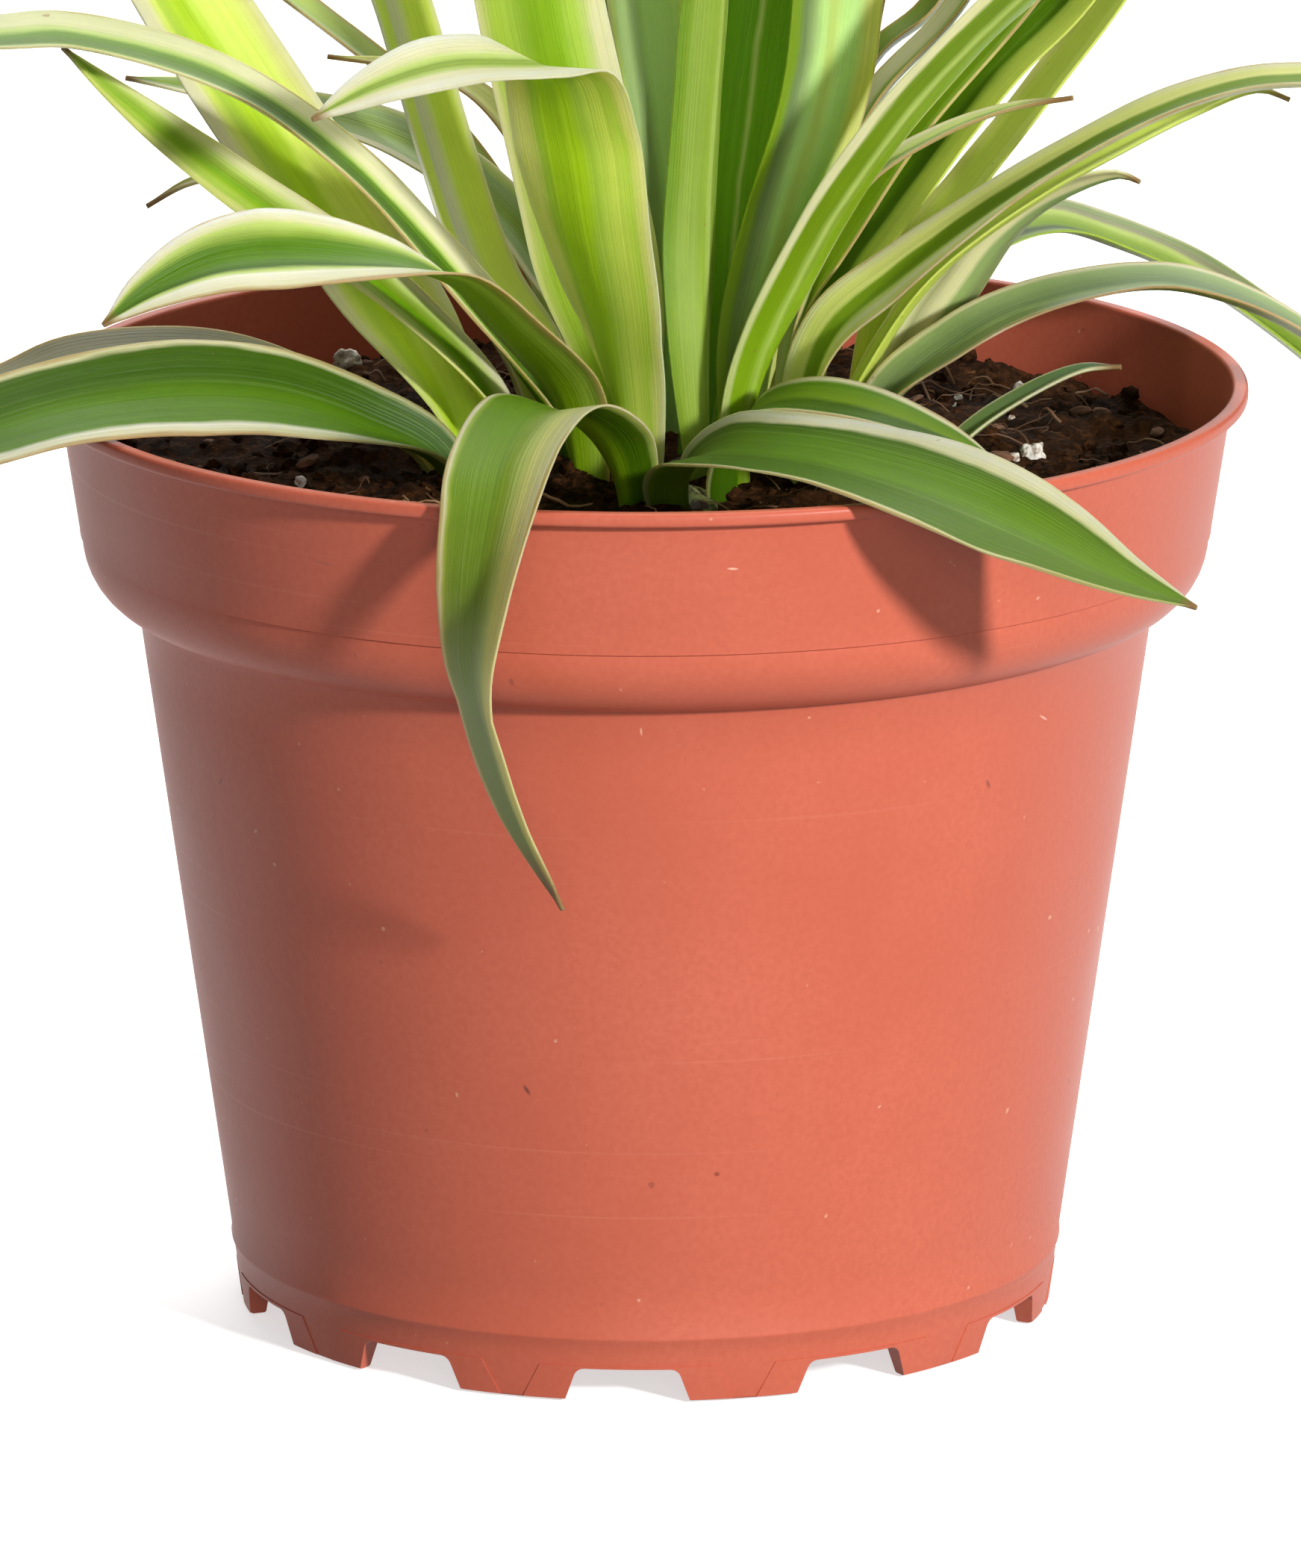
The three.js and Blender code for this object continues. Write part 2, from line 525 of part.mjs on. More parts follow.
// A leaf blade: at each station a shallow V of three points on each face, split alike on both
// faces. With room it is the space that the leaf's root takes up in its hole, up to a height.
function blade(leaf, room = 0, height = Infinity) {
  const curve = new THREE.CatmullRomCurve3(
    leaf.path.map((point) => new THREE.Vector3(...point)), false, 'centripetal');
  const first = leaf.path[0];
  const last = leaf.path[leaf.path.length - 1];
  const heading = leaf.heading === undefined
    ? Math.atan2(last[1] - first[1], last[0] - first[0])
    : THREE.MathUtils.degToRad(leaf.heading);
  const sideways = new THREE.Vector3(-Math.sin(heading), Math.cos(heading), 0);
  const length = curve.getLength();
  const opening = Math.min(openingLength, 0.3 * length);
  const stations = Math.max(8, Math.round(length / stationSpacing));
  let count = 1;
  while (count < stations && curve.getPointAt(count / stations).z < height) count += 1;

  const points = [];
  for (let i = 0; i <= count; i += 1) {
    const at = i / stations;
    const middle = curve.getPointAt(at);
    const along = curve.getTangentAt(at);
    const across = sideways.clone().addScaledVector(along, -sideways.dot(along)).normalize();
    const up = along.clone().cross(across);
    const roll = rollAt(leaf, at);
    const rolledAcross = across.clone().multiplyScalar(Math.cos(roll)).addScaledVector(up, Math.sin(roll));
    const rolledUp = along.clone().cross(rolledAcross);
    const opened = smooth(Math.min(1, (at * length) / opening));
    const fold = THREE.MathUtils.degToRad(baseFold + (leaf.fold - baseFold) * opened);
    const half = widthAt(leaf, at, opened) / 2 + room;
    const rise = half * Math.sin(fold);
    const thick = (bladeThickness + 2 * room) / Math.cos(fold);
    if (room > 0 && i === 0) middle.addScaledVector(along, -room);
    for (const face of [0.5, -0.5]) {
      for (const side of [1, 0, -1]) {
        const lift = face * thick + rise * (Math.abs(side) - 0.5);
        points.push(middle.clone()
          .addScaledVector(rolledAcross, side * half * Math.cos(fold))
          .addScaledVector(rolledUp, lift)
          .toArray());
      }
    }
  }

  const faces = [];
  const quad = (a, b, c, d) => faces.push(a, b, c, a, c, d);
  for (let i = 0; i < count; i += 1) {
    const s = 6 * i;
    for (const k of [0, 1]) {
      quad(s + k, s + k + 1, s + k + 7, s + k + 6);
      quad(s + k + 3, s + k + 9, s + k + 10, s + k + 4);
    }
    quad(s, s + 6, s + 9, s + 3);
    quad(s + 2, s + 5, s + 11, s + 8);
  }
  const e = 6 * count;
  for (const k of [0, 1]) {
    quad(k, k + 3, k + 4, k + 1);
    quad(e + k, e + k + 1, e + k + 4, e + k + 3);
  }
  const geometry = new THREE.BufferGeometry();
  geometry.setAttribute('position', new THREE.Float32BufferAttribute(points.flat(), 3));
  geometry.setIndex(faces);
  return solid(geometry);
}

// A plain hole for each leaf's root, to be cut from the crown and the soil
function rootHoles() {
  return wasm.Manifold.union(leaves.map((leaf) => blade(leaf, gap, holeTop).hull()));
}

function makeCrown() {
  return largest(crownClump(0).subtract(rootHoles()));
}

const plant = new THREE.Group();
plant.name = 'potted_spider_plant';
plant.add(mesh('pot', makePot(), materials.pot));
plant.add(mesh('soil', makeSoil(), materials.soil));
plant.add(mesh('crown', makeCrown(), materials.crown));
for (const leaf of leaves) {
  plant.add(mesh(leaf.name, blade(leaf), materials.leaf));
}

export default plant;
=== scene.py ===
# Spider plant in a round moulded nursery pot: the finished look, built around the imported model.
# Sizes are written in millimetres, and those of the floor, the lights and the camera's clipping
# in metres, as in the meshes.

import bisect
import math
import random

import bpy
from mathutils import Matrix, Vector, noise


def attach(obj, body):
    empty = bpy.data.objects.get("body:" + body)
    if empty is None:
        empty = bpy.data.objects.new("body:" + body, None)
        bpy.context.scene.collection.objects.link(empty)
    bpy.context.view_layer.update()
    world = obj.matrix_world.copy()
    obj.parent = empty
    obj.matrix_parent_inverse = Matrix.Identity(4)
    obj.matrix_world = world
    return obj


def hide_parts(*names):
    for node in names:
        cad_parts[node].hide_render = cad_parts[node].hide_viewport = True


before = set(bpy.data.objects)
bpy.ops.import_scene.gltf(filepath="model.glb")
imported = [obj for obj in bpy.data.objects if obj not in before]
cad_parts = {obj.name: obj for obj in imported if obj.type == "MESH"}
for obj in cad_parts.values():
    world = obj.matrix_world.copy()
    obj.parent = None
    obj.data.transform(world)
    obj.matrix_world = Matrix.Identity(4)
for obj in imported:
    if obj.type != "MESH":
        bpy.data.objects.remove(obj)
bpy.ops.object.select_all(action="DESELECT")
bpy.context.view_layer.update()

MM = 0.001

# Camera
# The photograph was taken from the front, a little above the rim, with a long lens. The camera
# looks down by 14 degrees at a point half way up the pot, from one and a half metres away. Its
# focal length is in pixels of the photograph.
focal_length = 20050
photo_height = 2100
sensor_size = 36
look_down = math.radians(14.0)
camera_distance = 1500
aim = Vector((0.5, 0, 52.5))
back = Vector((0, -math.cos(look_down), math.sin(look_down)))
bpy.ops.object.camera_add()
camera = bpy.context.object
camera.name = "camera"
camera.location = (aim + camera_distance * back) * MM
camera.rotation_euler = (math.pi / 2 - look_down, 0, 0)
camera.data.sensor_width = sensor_size
camera.data.lens = focal_length / photo_height * sensor_size
camera.data.clip_start = 0.05
camera.data.clip_end = 40
bpy.context.scene.camera = camera

# Pot
# One thin moulding in terracotta-coloured plastic: rolled lip, upper band, round shoulder and
# tapered body, with a floor and a foot ring. Its profile is spun, then the notches are cut.
wall = 1.0
foot_radius = 40.7
shoulder_radius = 50.8
shoulder_height = 72.6
draft = (shoulder_radius - foot_radius) / shoulder_height
floor_bottom = 4.0
floor_top = 5.2
ring_edge = (0.25, 0.25)
line_relief = 0.16
shoulder_middle = (50.9, 79.0)
shoulder_curve = (5.3, 6.5)
band_radius = 56.44
band_bottom = 79.6
band_draft = 0.15
lip_edge = (0.4, 0.4)
pot_steps = 264


def body_radius(height):
    """Radius of the tapered body at a height."""
    return foot_radius + draft * height


def arc(centre, size, start, end, steps):
    """Points of an elliptical arc, from one angle to another, in degrees."""
    points = []
    for i in range(steps + 1):
        turn = math.radians(start + (end - start) * i / steps)
        points.append((centre[0] + size[0] * math.cos(turn), centre[1] + size[1] * math.sin(turn)))
    return points


pot_profile = [(0, floor_bottom), (38.6, floor_bottom), (38.8, 3.8)]
pot_profile += arc((39.35, 0.25), ring_edge, 180, 270, 3)
pot_profile += arc((40.45, 0.25), ring_edge, 270, 360, 3)
for height in (1.5, 3, 4.5, 6.1):
    pot_profile.append((body_radius(height), height))
for height in (6.4, 6.7):
    pot_profile.append((body_radius(height) + line_relief, height))
for height in (7.0, 12, 18, 24, 30, 36, 42, 48, 54, 60, 66, 71.4):
    pot_profile.append((body_radius(height), height))
pot_profile += arc(shoulder_middle, shoulder_curve, -86, 0, 9)
pot_profile += [(56.2, 79.1), (56.42, 79.25), (band_radius, band_bottom)]
for height in (82, 85, 88, 91):
    pot_profile.append((band_radius + (height - band_bottom) * band_draft, height))
pot_profile += arc((58.9, 92.2), (0.5, 0.4), 180, 90, 3)
pot_profile += arc((59.6, 93.0), lip_edge, -90, 0, 3)
pot_profile += arc((59.55, 93.5), (0.45, 0.5), 0, 90, 4)
pot_profile += arc((58.8, 93.6), lip_edge, 90, 180, 3)
pot_profile += [(57.9, 91.5), (57.0, 87.5), (56.1, 83.3), (55.2, 79.1)]
pot_profile += arc((shoulder_middle[0] - wall, shoulder_middle[1]), shoulder_curve, 0, -86, 7)
for height in (66, 54, 42, 30, 18, 8):
    pot_profile.append((body_radius(height) - wall, height))
pot_profile += [(39.9, 5.6), (39.3, floor_top), (0, floor_top)]


def chain(points):
    """A chain of vertices in the XZ plane, drawn from one point by extruding it."""
    bpy.ops.mesh.primitive_plane_add(size=MM)
    bpy.ops.object.mode_set(mode="EDIT")
    bpy.ops.mesh.select_mode(type="VERT")
    bpy.ops.mesh.select_all(action="SELECT")
    bpy.ops.mesh.merge(type="CENTER")
    bpy.ops.transform.translate(value=(points[0][0] * MM, 0, points[0][1] * MM))
    for (r0, z0), (r1, z1) in zip(points, points[1:]):
        step = ((r1 - r0) * MM, 0, (z1 - z0) * MM)
        bpy.ops.mesh.extrude_region_move(TRANSFORM_OT_translate={"value": step})
    bpy.ops.object.mode_set(mode="OBJECT")
    return bpy.context.object


def spin(piece, steps):
    """Turns a chain once round the Z axis, closes the seam and the poles, and faces it outward."""
    bpy.ops.object.mode_set(mode="EDIT")
    bpy.ops.mesh.select_all(action="SELECT")
    bpy.ops.mesh.spin(steps=steps, angle=2 * math.pi, center=(0, 0, 0), axis=(0, 0, 1))
    bpy.ops.mesh.select_all(action="SELECT")
    bpy.ops.mesh.remove_doubles(threshold=0.004 * MM)
    bpy.ops.mesh.normals_make_consistent(inside=False)
    bpy.ops.object.mode_set(mode="OBJECT")
    return piece


pot = spin(chain(pot_profile), pot_steps)
pot.name = "nursery_pot"

# Pot: feet
# Eleven notches are cut through the foot ring, each with a faint raised panel round it, and a
# drain hole in the floor behind it.
notch_count = 11
first_notch = -92.5
panel_bottom = 0.12
panel_top = 3.7
panel_half = 10.5
panel_taper = 1.9
panel_relief = 0.09
panel_back = 39.6
row_spread = 0.4
notch_top = 3.4
notch_bottom = -1.2
notch_half_top = 5.0
notch_half_bottom = 6.6
notch_reach = 3.5
notch_round = 0.7
drain_radius = 2.8
drain_place = 33
drain_depth = 4


def choose(pieces):
    """Selects only these pieces, with the first one active."""
    bpy.ops.object.select_all(action="DESELECT")
    for piece in pieces:
        piece.select_set(True)
    bpy.context.view_layer.objects.active = pieces[0]


def copied(piece):
    """A copy of a piece with its own mesh."""
    copy = piece.copy()
    copy.data = piece.data.copy()
    bpy.context.collection.objects.link(copy)
    return copy


def joined(pieces, name):
    """Joins pieces to one object with a name."""
    choose(pieces)
    bpy.ops.object.join()
    pieces[0].name = name
    return pieces[0]


def round_pot(piece):
    """Copies a piece that was made at the angle 0 to each notch's angle, as one object."""
    copies = []
    for i in range(notch_count):
        copy = copied(piece)
        turn = math.radians(first_notch + 360 * i / notch_count)
        copy.data.transform(Matrix.Rotation(turn, 4, "Z"))
        copies.append(copy)
    bpy.data.objects.remove(piece)
    return joined(copies, "foot_tool")


def combine(piece, tool, operation):
    """Joins or cuts a piece with a tool by a Boolean modifier, which is applied."""
    modifier = piece.modifiers.new("fit", "BOOLEAN")
    modifier.operation = operation
    modifier.object = tool
    modifier.solver = "EXACT"
    choose([piece])
    bpy.ops.object.modifier_apply(modifier=modifier.name)
    bpy.data.objects.remove(tool)


def edit_edges(piece, chosen):
    """Goes into edit mode with only the edges selected whose two ends pass a test."""
    bpy.ops.object.mode_set(mode="EDIT")
    bpy.ops.mesh.select_mode(type="EDGE")
    bpy.ops.mesh.select_all(action="DESELECT")
    bpy.ops.object.mode_set(mode="OBJECT")
    for edge in piece.data.edges:
        edge.select = chosen(*[piece.data.vertices[i].co for i in edge.vertices])
    bpy.ops.object.mode_set(mode="EDIT")


bpy.ops.mesh.primitive_cube_add(size=2)
bpy.ops.object.mode_set(mode="EDIT")
bpy.ops.mesh.subdivide(number_cuts=15)
bpy.ops.object.mode_set(mode="OBJECT")
panel = bpy.context.object
for vertex in panel.data.vertices:
    out, side, up = vertex.co
    height = panel_bottom + (panel_top - panel_bottom) * (up + 1) / 2
    half = panel_half - panel_taper * height / panel_top
    turn = side * half / foot_radius
    # Only the face stands out. The rows behind it stay inside the wall.
    radius = panel_back
    if out > 0.9:
        radius = body_radius(height) + panel_relief
    elif out > -0.9:
        radius -= (1 - out) / 2 * row_spread
    vertex.co = Vector((radius * math.cos(turn), radius * math.sin(turn), height)) * MM
combine(pot, round_pot(panel), "UNION")

bpy.ops.mesh.primitive_cube_add(size=2)
notch = bpy.context.object
for vertex in notch.data.vertices:
    out, side, up = vertex.co
    half = notch_half_top if up > 0 else notch_half_bottom
    height = notch_top if up > 0 else notch_bottom
    vertex.co = Vector((foot_radius + notch_reach * out, side * half, height)) * MM


def notch_roof(start, end):
    """Tells the two upper edges of a notch that run outwards."""
    return abs(start.x - end.x) > notch_reach * MM and min(start.z, end.z) > 0


edit_edges(notch, notch_roof)
bpy.ops.mesh.bevel(offset=notch_round * MM, segments=4)
bpy.ops.object.mode_set(mode="OBJECT")
combine(pot, round_pot(notch), "DIFFERENCE")

bpy.ops.mesh.primitive_cylinder_add(
    vertices=28, radius=drain_radius * MM, depth=drain_depth * MM,
    location=(drain_place * MM, 0, (floor_bottom + floor_top) / 2 * MM))
bpy.ops.object.transform_apply(location=True, rotation=False, scale=False)
combine(pot, round_pot(bpy.context.object), "DIFFERENCE")
bpy.ops.object.shade_smooth_by_angle(angle=math.radians(32))

# Pot: plastic
# Semi-matt moulded polypropylene with a very fine grain, cloudy colour, light scratches that run
# round the wall, pale dust specks, dark spots and a few small scuffs from handling. Each scuff
# has its middle, its turn, its half sizes and its colour.
scuffs = [
    ((-11.6, -46.1, 32.6), (0, 0.55, 0), (0.32, 4, 0.95), (74, 40, 44)),
    ((-21.5, -42.0, 27.2), (0, 0, 0), (0.30, 4, 0.34), (104, 50, 44)),
    ((8.4, -57.6, 88.0), (0, 1.5, 0), (0.14, 4, 0.62), (244, 196, 170)),
    ((-5.4, -51.5, 75.5), (0, 1.2, 0), (0.16, 4, 0.8), (238, 170, 140)),
    ((-0.4, -50.0, 70.3), (0, 0.1, 0), (0.12, 4, 0.5), (238, 176, 150)),
    ((7.0, -44.6, 24.0), (0, 0, 0), (0.34, 4, 0.3), (140, 66, 50)),
    ((33.5, -36.0, 61.5), (0, 0.3, 0), (0.2, 4, 0.6), (150, 74, 60)),
    ((39.0, -31.5, 67.0), (0, 0.8, 0), (0.12, 4, 0.6), (240, 180, 160)),
    ((-31.0, -49.0, 86.5), (0, 1.45, 0), (0.12, 4, 1.3), (176, 96, 82)),
]


def tone(red, green, blue):
    """A colour as it is read off a screen, from 0 to 255, as the renderer's linear colour."""
    linear = []
    for part in (red, green, blue):
        share = part / 255
        linear.append(share / 12.92 if share <= 0.04045 else ((share + 0.055) / 1.055) ** 2.4)
    return (*linear, 1)


def new_finish(name):
    """A new material, its links, its shader and the coordinates of the object that it is on."""
    material = bpy.data.materials.new(name)
    material.use_nodes = True
    tree = material.node_tree
    place = tree.nodes.new("ShaderNodeTexCoord").outputs["Object"]
    return material, tree.links, tree.nodes["Principled BSDF"], place


def added(socket, kind):
    """A new node of a kind in the material that a socket belongs to, and the material's links."""
    tree = socket.id_data
    return tree.nodes.new(kind), tree.links


def grain(vector, scale, detail=3, roughness=0.55):
    """A noise texture on a coordinate; returns its value from 0 to 1."""
    texture, links = added(vector, "ShaderNodeTexNoise")
    texture.inputs["Scale"].default_value = scale
    texture.inputs["Detail"].default_value = detail
    texture.inputs["Roughness"].default_value = roughness
    links.new(vector, texture.inputs["Vector"])
    return texture.outputs["Fac"]


def placed(vector, location=(0, 0, 0), rotation=(0, 0, 0), scale=(1, 1, 1)):
    """A coordinate moved, turned and scaled by a Mapping node."""
    node, links = added(vector, "ShaderNodeMapping")
    node.inputs["Location"].default_value = location
    node.inputs["Rotation"].default_value = rotation
    node.inputs["Scale"].default_value = scale
    links.new(vector, node.inputs["Vector"])
    return node.outputs["Vector"]


def ranged(value, low, high, to_low=0.0, to_high=1.0):
    """A value mapped from one range to another, clamped at both ends."""
    node, links = added(value, "ShaderNodeMapRange")
    node.inputs["From Min"].default_value = low
    node.inputs["From Max"].default_value = high
    node.inputs["To Min"].default_value = to_low
    node.inputs["To Max"].default_value = to_high
    links.new(value, node.inputs["Value"])
    return node.outputs["Result"]


def blend(amount, first, second, mode="MIX"):
    """Two colours mixed by an amount; each may be a socket or a fixed colour."""
    node, links = added(amount, "ShaderNodeMix")
    node.data_type = "RGBA"
    node.blend_type = mode
    links.new(amount, node.inputs[0])
    for socket, colour in ((node.inputs[6], first), (node.inputs[7], second)):
        if isinstance(colour, bpy.types.NodeSocket):
            links.new(colour, socket)
        else:
            socket.default_value = colour
    return node.outputs[2]


def laid(below, above, value, span, shares=(0.0, 1.0), mode="MIX"):
    """A colour laid over another by a value: the shares of it at the two ends of the value's span."""
    return blend(ranged(value, *span, *shares), below, above, mode)


def relief(shader, height, distance, strength=1.0):
    """Bump from a height value, in millimetres of depth."""
    bump, links = added(height, "ShaderNodeBump")
    bump.inputs["Strength"].default_value = strength
    bump.inputs["Distance"].default_value = distance * MM
    links.new(height, bump.inputs["Height"])
    links.new(bump.outputs["Normal"], shader.inputs["Normal"])


material, links, shader, place = new_finish("pot_plastic")
clouds = grain(place, 38, 4)
fine = grain(place, 1500, 2)
rings = grain(placed(place, scale=(9, 9, 1500)), 1, 2, 0.4)
specks = grain(place, 720, 1)
spots = grain(placed(place, location=(0.3, 0.1, 0.7)), 420, 1)
colour = laid(tone(203, 101, 76), tone(212, 110, 85), clouds, (0.35, 0.68))
colour = laid(colour, tone(196, 93, 69), fine, (0.3, 0.7), (0.0, 0.5))
colour = laid(colour, tone(236, 158, 130), rings, (0.70, 0.78), (0.0, 0.16))
colour = laid(colour, tone(240, 190, 160), specks, (0.79, 0.83), (0.0, 0.5))
colour = laid(colour, tone(120, 62, 50), spots, (0.80, 0.83), (0.0, 0.45))
for middle, turn, size, mark in scuffs:
    spread = placed(place, location=[-part * MM for part in middle])
    spread = placed(spread, rotation=turn)
    spread = placed(spread, scale=[1 / (part * MM) for part in size])
    away = added(spread, "ShaderNodeVectorMath")[0]
    away.operation = "LENGTH"
    links.new(spread, away.inputs[0])
    colour = laid(colour, tone(*mark), away.outputs["Value"], (0.55, 1.0), (0.85, 0.0))
links.new(colour, shader.inputs["Base Color"])
links.new(ranged(clouds, 0.3, 0.7, 0.40, 0.50), shader.inputs["Roughness"])
shader.inputs["Specular IOR Level"].default_value = 0.25
relief(shader, fine, 0.02, 0.5)
pot.data.materials.clear()
pot.data.materials.append(material)
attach(pot, "root")
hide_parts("pot")

# Soil
# Damp dark peat, crumbly and uneven, a little lower than the lip. Its face is one fine spun disc
# with lumps and crumbs pushed into it, closed by a side wall and a base inside the pot.
soil_level = 86.2
soil_edge = 56.3
soil_rim = 54.5
rim_width = 1.8
rim_drop = 0.8
mound_reach = 58.4
face_start = 86
soil_rings = 104
soil_steps = 380


def soil_height(x, y):
    """Height of the soil's face before the crumbs: low mounds, a little higher in the middle."""
    away = math.hypot(x, y) / mound_reach
    mounds = math.sin(0.21 * x + 0.6) * math.cos(0.17 * y - 0.4) + 0.5 * math.sin(0.43 * x - 0.31 * y)
    return soil_level + 0.9 * (1 - away * away) + 0.5 * mounds


def crumbs(x, y):
    """Lumps of three sizes on the face of the soil."""
    lumps = noise.noise(Vector((x, y, 3)) / 6.5)
    clods = max(0.0, noise.noise(Vector((x, y, 9)) / 2.6)) ** 0.7
    bits = noise.noise(Vector((x, y, 5)) / 0.95)
    return 0.75 * lumps + 1.25 * clods + 0.42 * bits - 0.45


soil_profile = [(0, 5.5), (39.8, 5.5), (49.2, 72.6), (54.6, 79.1), (55.9, 84.0)]
soil_profile += [(soil_edge * (1 - i / soil_rings), face_start) for i in range(soil_rings + 1)]
soil = spin(chain(soil_profile), soil_steps)
soil.name = "peat_soil"
for vertex in soil.data.vertices:
    if vertex.co.z > (face_start - 1) * MM:
        x, y = vertex.co.x / MM, vertex.co.y / MM
        low_edge = max(0.0, (math.hypot(x, y) - soil_rim) / rim_width)
        vertex.co.z = (soil_height(x, y) + crumbs(x, y) - rim_drop * low_edge) * MM
bpy.ops.object.shade_smooth_by_angle(angle=math.radians(50))

peat, links, shader, place = new_finish("damp_peat")
damp = grain(place, 95, 4)
crumb_grain = grain(place, 900, 4, 0.7)
straw = grain(placed(place, rotation=(0, 0, 0.7), scale=(1, 4.5, 2)), 420, 2)
colour = laid(tone(20, 10, 4), tone(50, 29, 12), damp, (0.36, 0.66))
colour = laid(colour, tone(82, 50, 24), crumb_grain, (0.46, 0.72))
colour = laid(colour, tone(140, 100, 62), straw, (0.70, 0.76), (0.0, 0.6))
links.new(colour, shader.inputs["Base Color"])
links.new(ranged(damp, 0.3, 0.7, 0.82, 0.98), shader.inputs["Roughness"])
shader.inputs["Specular IOR Level"].default_value = 0.06
relief(shader, crumb_grain, 0.6, 0.9)
soil.data.materials.append(peat)
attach(soil, "root")
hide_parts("soil")

# Soil: loose crumbs
# Clods and grains of the same peat lie on the face. Three lumps are modelled and copied, each
# copy turned, sized and pressed flat by a seeded draw, and all are joined to one piece.
draw = random.Random(7)


def lump(detail, radius, roughness, seed):
    """A rough lump: an icosphere with its vertices pushed in and out."""
    bpy.ops.mesh.primitive_ico_sphere_add(subdivisions=detail, radius=1)
    piece = bpy.context.object
    for vertex in piece.data.vertices:
        push = noise.noise(vertex.co * 1.3 + Vector((seed, 0, 0))) + 0.5 * noise.noise(vertex.co * 3.1)
        vertex.co *= radius * MM * (1 + roughness * push)
    return piece


def on_soil(x, y, above=0.0):
    """A point at a height above the crumbly face of the soil."""
    return Vector((x, y, soil_height(x, y) + crumbs(x, y) + above))


def scatter(models, name, count, inner, outer, low, high, sink, flat=0.75):
    """Seeded copies of the models, on the soil between two radii, joined to one object."""
    copies = []
    for i in range(count):
        radius = math.sqrt(draw.uniform(inner ** 2, outer ** 2))
        turn = draw.uniform(0, 2 * math.pi)
        x, y = radius * math.cos(turn), radius * math.sin(turn)
        size = draw.uniform(low ** 0.5, high ** 0.5) ** 2
        copy = copied(draw.choice(models))
        shape = Matrix.Translation(on_soil(x, y, (0.5 - sink) * size * flat) * MM)
        shape @= Matrix.Rotation(draw.uniform(0, 2 * math.pi), 4, "Z")
        shape @= Matrix.Rotation(draw.uniform(-0.5, 0.5), 4, "X")
        shape @= Matrix.Diagonal((size, size * draw.uniform(0.6, 1.0), size * flat, 1))
        copy.data.transform(shape)
        copies.append(copy)
    for model in models:
        bpy.data.objects.remove(model)
    piece = joined(copies, name)
    bpy.ops.object.shade_smooth_by_angle(angle=math.radians(45))
    return piece


loose = scatter([lump(2, 0.5, 0.55, seed) for seed in (1, 2, 3)], "peat_crumbs",
                count=560, inner=3, outer=55, low=0.5, high=2.3, sink=0.35)
loose.data.materials.append(peat)
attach(loose, "root")

# Soil: perlite and bark
# White grains of perlite and chips of brown bark lie in the peat. Four of the grains, two of them
# larger, have places of their own.
single_grains = ((38.6, -1.5, 2.3), (-30.5, 39.5, 2.6), (36.6, -3.2, 1.2), (-14, -44, 1.2))

grains = [scatter([lump(3, 0.5, 0.35, seed) for seed in (4, 5)], "perlite",
                  count=22, inner=16, outer=54, low=0.5, high=1.5, sink=0.45, flat=0.9)]
for x, y, size in single_grains:
    single = lump(4, size / 2, 0.4, x)
    single.data.transform(Matrix.Translation(on_soil(x, y, 0.3 * size) * MM))
    grains.append(single)
perlite = joined(grains, "perlite")
bpy.ops.object.shade_smooth_by_angle(angle=math.radians(60))
material, links, shader, place = new_finish("perlite_grain")
pores = grain(place, 1400, 3)
colour = laid(tone(150, 128, 106), tone(232, 226, 214), pores, (0.35, 0.55))
links.new(colour, shader.inputs["Base Color"])
shader.inputs["Roughness"].default_value = 0.9
relief(shader, pores, 0.3)
perlite.data.materials.append(material)
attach(perlite, "root")

chips = scatter([lump(2, 0.5, 0.3, seed) for seed in (6, 7)], "bark_chips",
                count=46, inner=14, outer=54, low=1.0, high=3.2, sink=0.35, flat=0.34)
material, links, shader, place = new_finish("bark")
layers = grain(placed(place, scale=(1, 5, 1)), 500, 3)
colour = laid(tone(64, 38, 24), tone(132, 88, 58), layers, (0.35, 0.65))
links.new(colour, shader.inputs["Base Color"])
shader.inputs["Roughness"].default_value = 0.88
relief(shader, layers, 0.25)
chips.data.materials.append(material)
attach(chips, "root")

# Soil: fibres
# Fine coir and root fibres lie across the peat in short loose curves. One thin rod of five sides
# is modelled and cut into rings, and each copy of it is bent along its own curve.
fibre_count = 170
fibre_steps = 7


def along_rod(start, end):
    """Tells the edges that run from one end of the rod to the other."""
    return abs(start.z - end.z) > 1


bpy.ops.mesh.primitive_cylinder_add(vertices=5, radius=1, depth=2)
rod = bpy.context.object
edit_edges(rod, along_rod)
bpy.ops.mesh.subdivide(number_cuts=fibre_steps - 1)
bpy.ops.object.mode_set(mode="OBJECT")

fibres = []
for i in range(fibre_count):
    radius = math.sqrt(draw.uniform(12 ** 2, 52 ** 2))
    turn = draw.uniform(0, 2 * math.pi)
    heading = draw.uniform(0, 2 * math.pi)
    bend = draw.uniform(-0.32, 0.32)
    lift = draw.uniform(0.1, 1.4)
    length = draw.uniform(2.5, 9)
    x, y = radius * math.cos(turn), radius * math.sin(turn)
    rings = []
    for step in range(fibre_steps + 1):
        rings.append(on_soil(x, y, 0.2 + lift * math.sin(math.pi * step / fibre_steps)))
        x += length / fibre_steps * math.cos(heading)
        y += length / fibre_steps * math.sin(heading)
        heading += bend
    if max(math.hypot(ring.x, ring.y) for ring in rings) > soil_rim:
        continue
    thick = draw.uniform(0.06, 0.15)
    fibre = copied(rod)
    for vertex in fibre.data.vertices:
        ring = rings[round((vertex.co.z + 1) / 2 * fibre_steps)]
        vertex.co = (ring + thick * Vector((vertex.co.x, vertex.co.y, vertex.co.x * 0.9))) * MM
    fibres.append(fibre)
bpy.data.objects.remove(rod)
coir = joined(fibres, "peat_fibres")
bpy.ops.object.mode_set(mode="EDIT")
bpy.ops.mesh.select_all(action="SELECT")
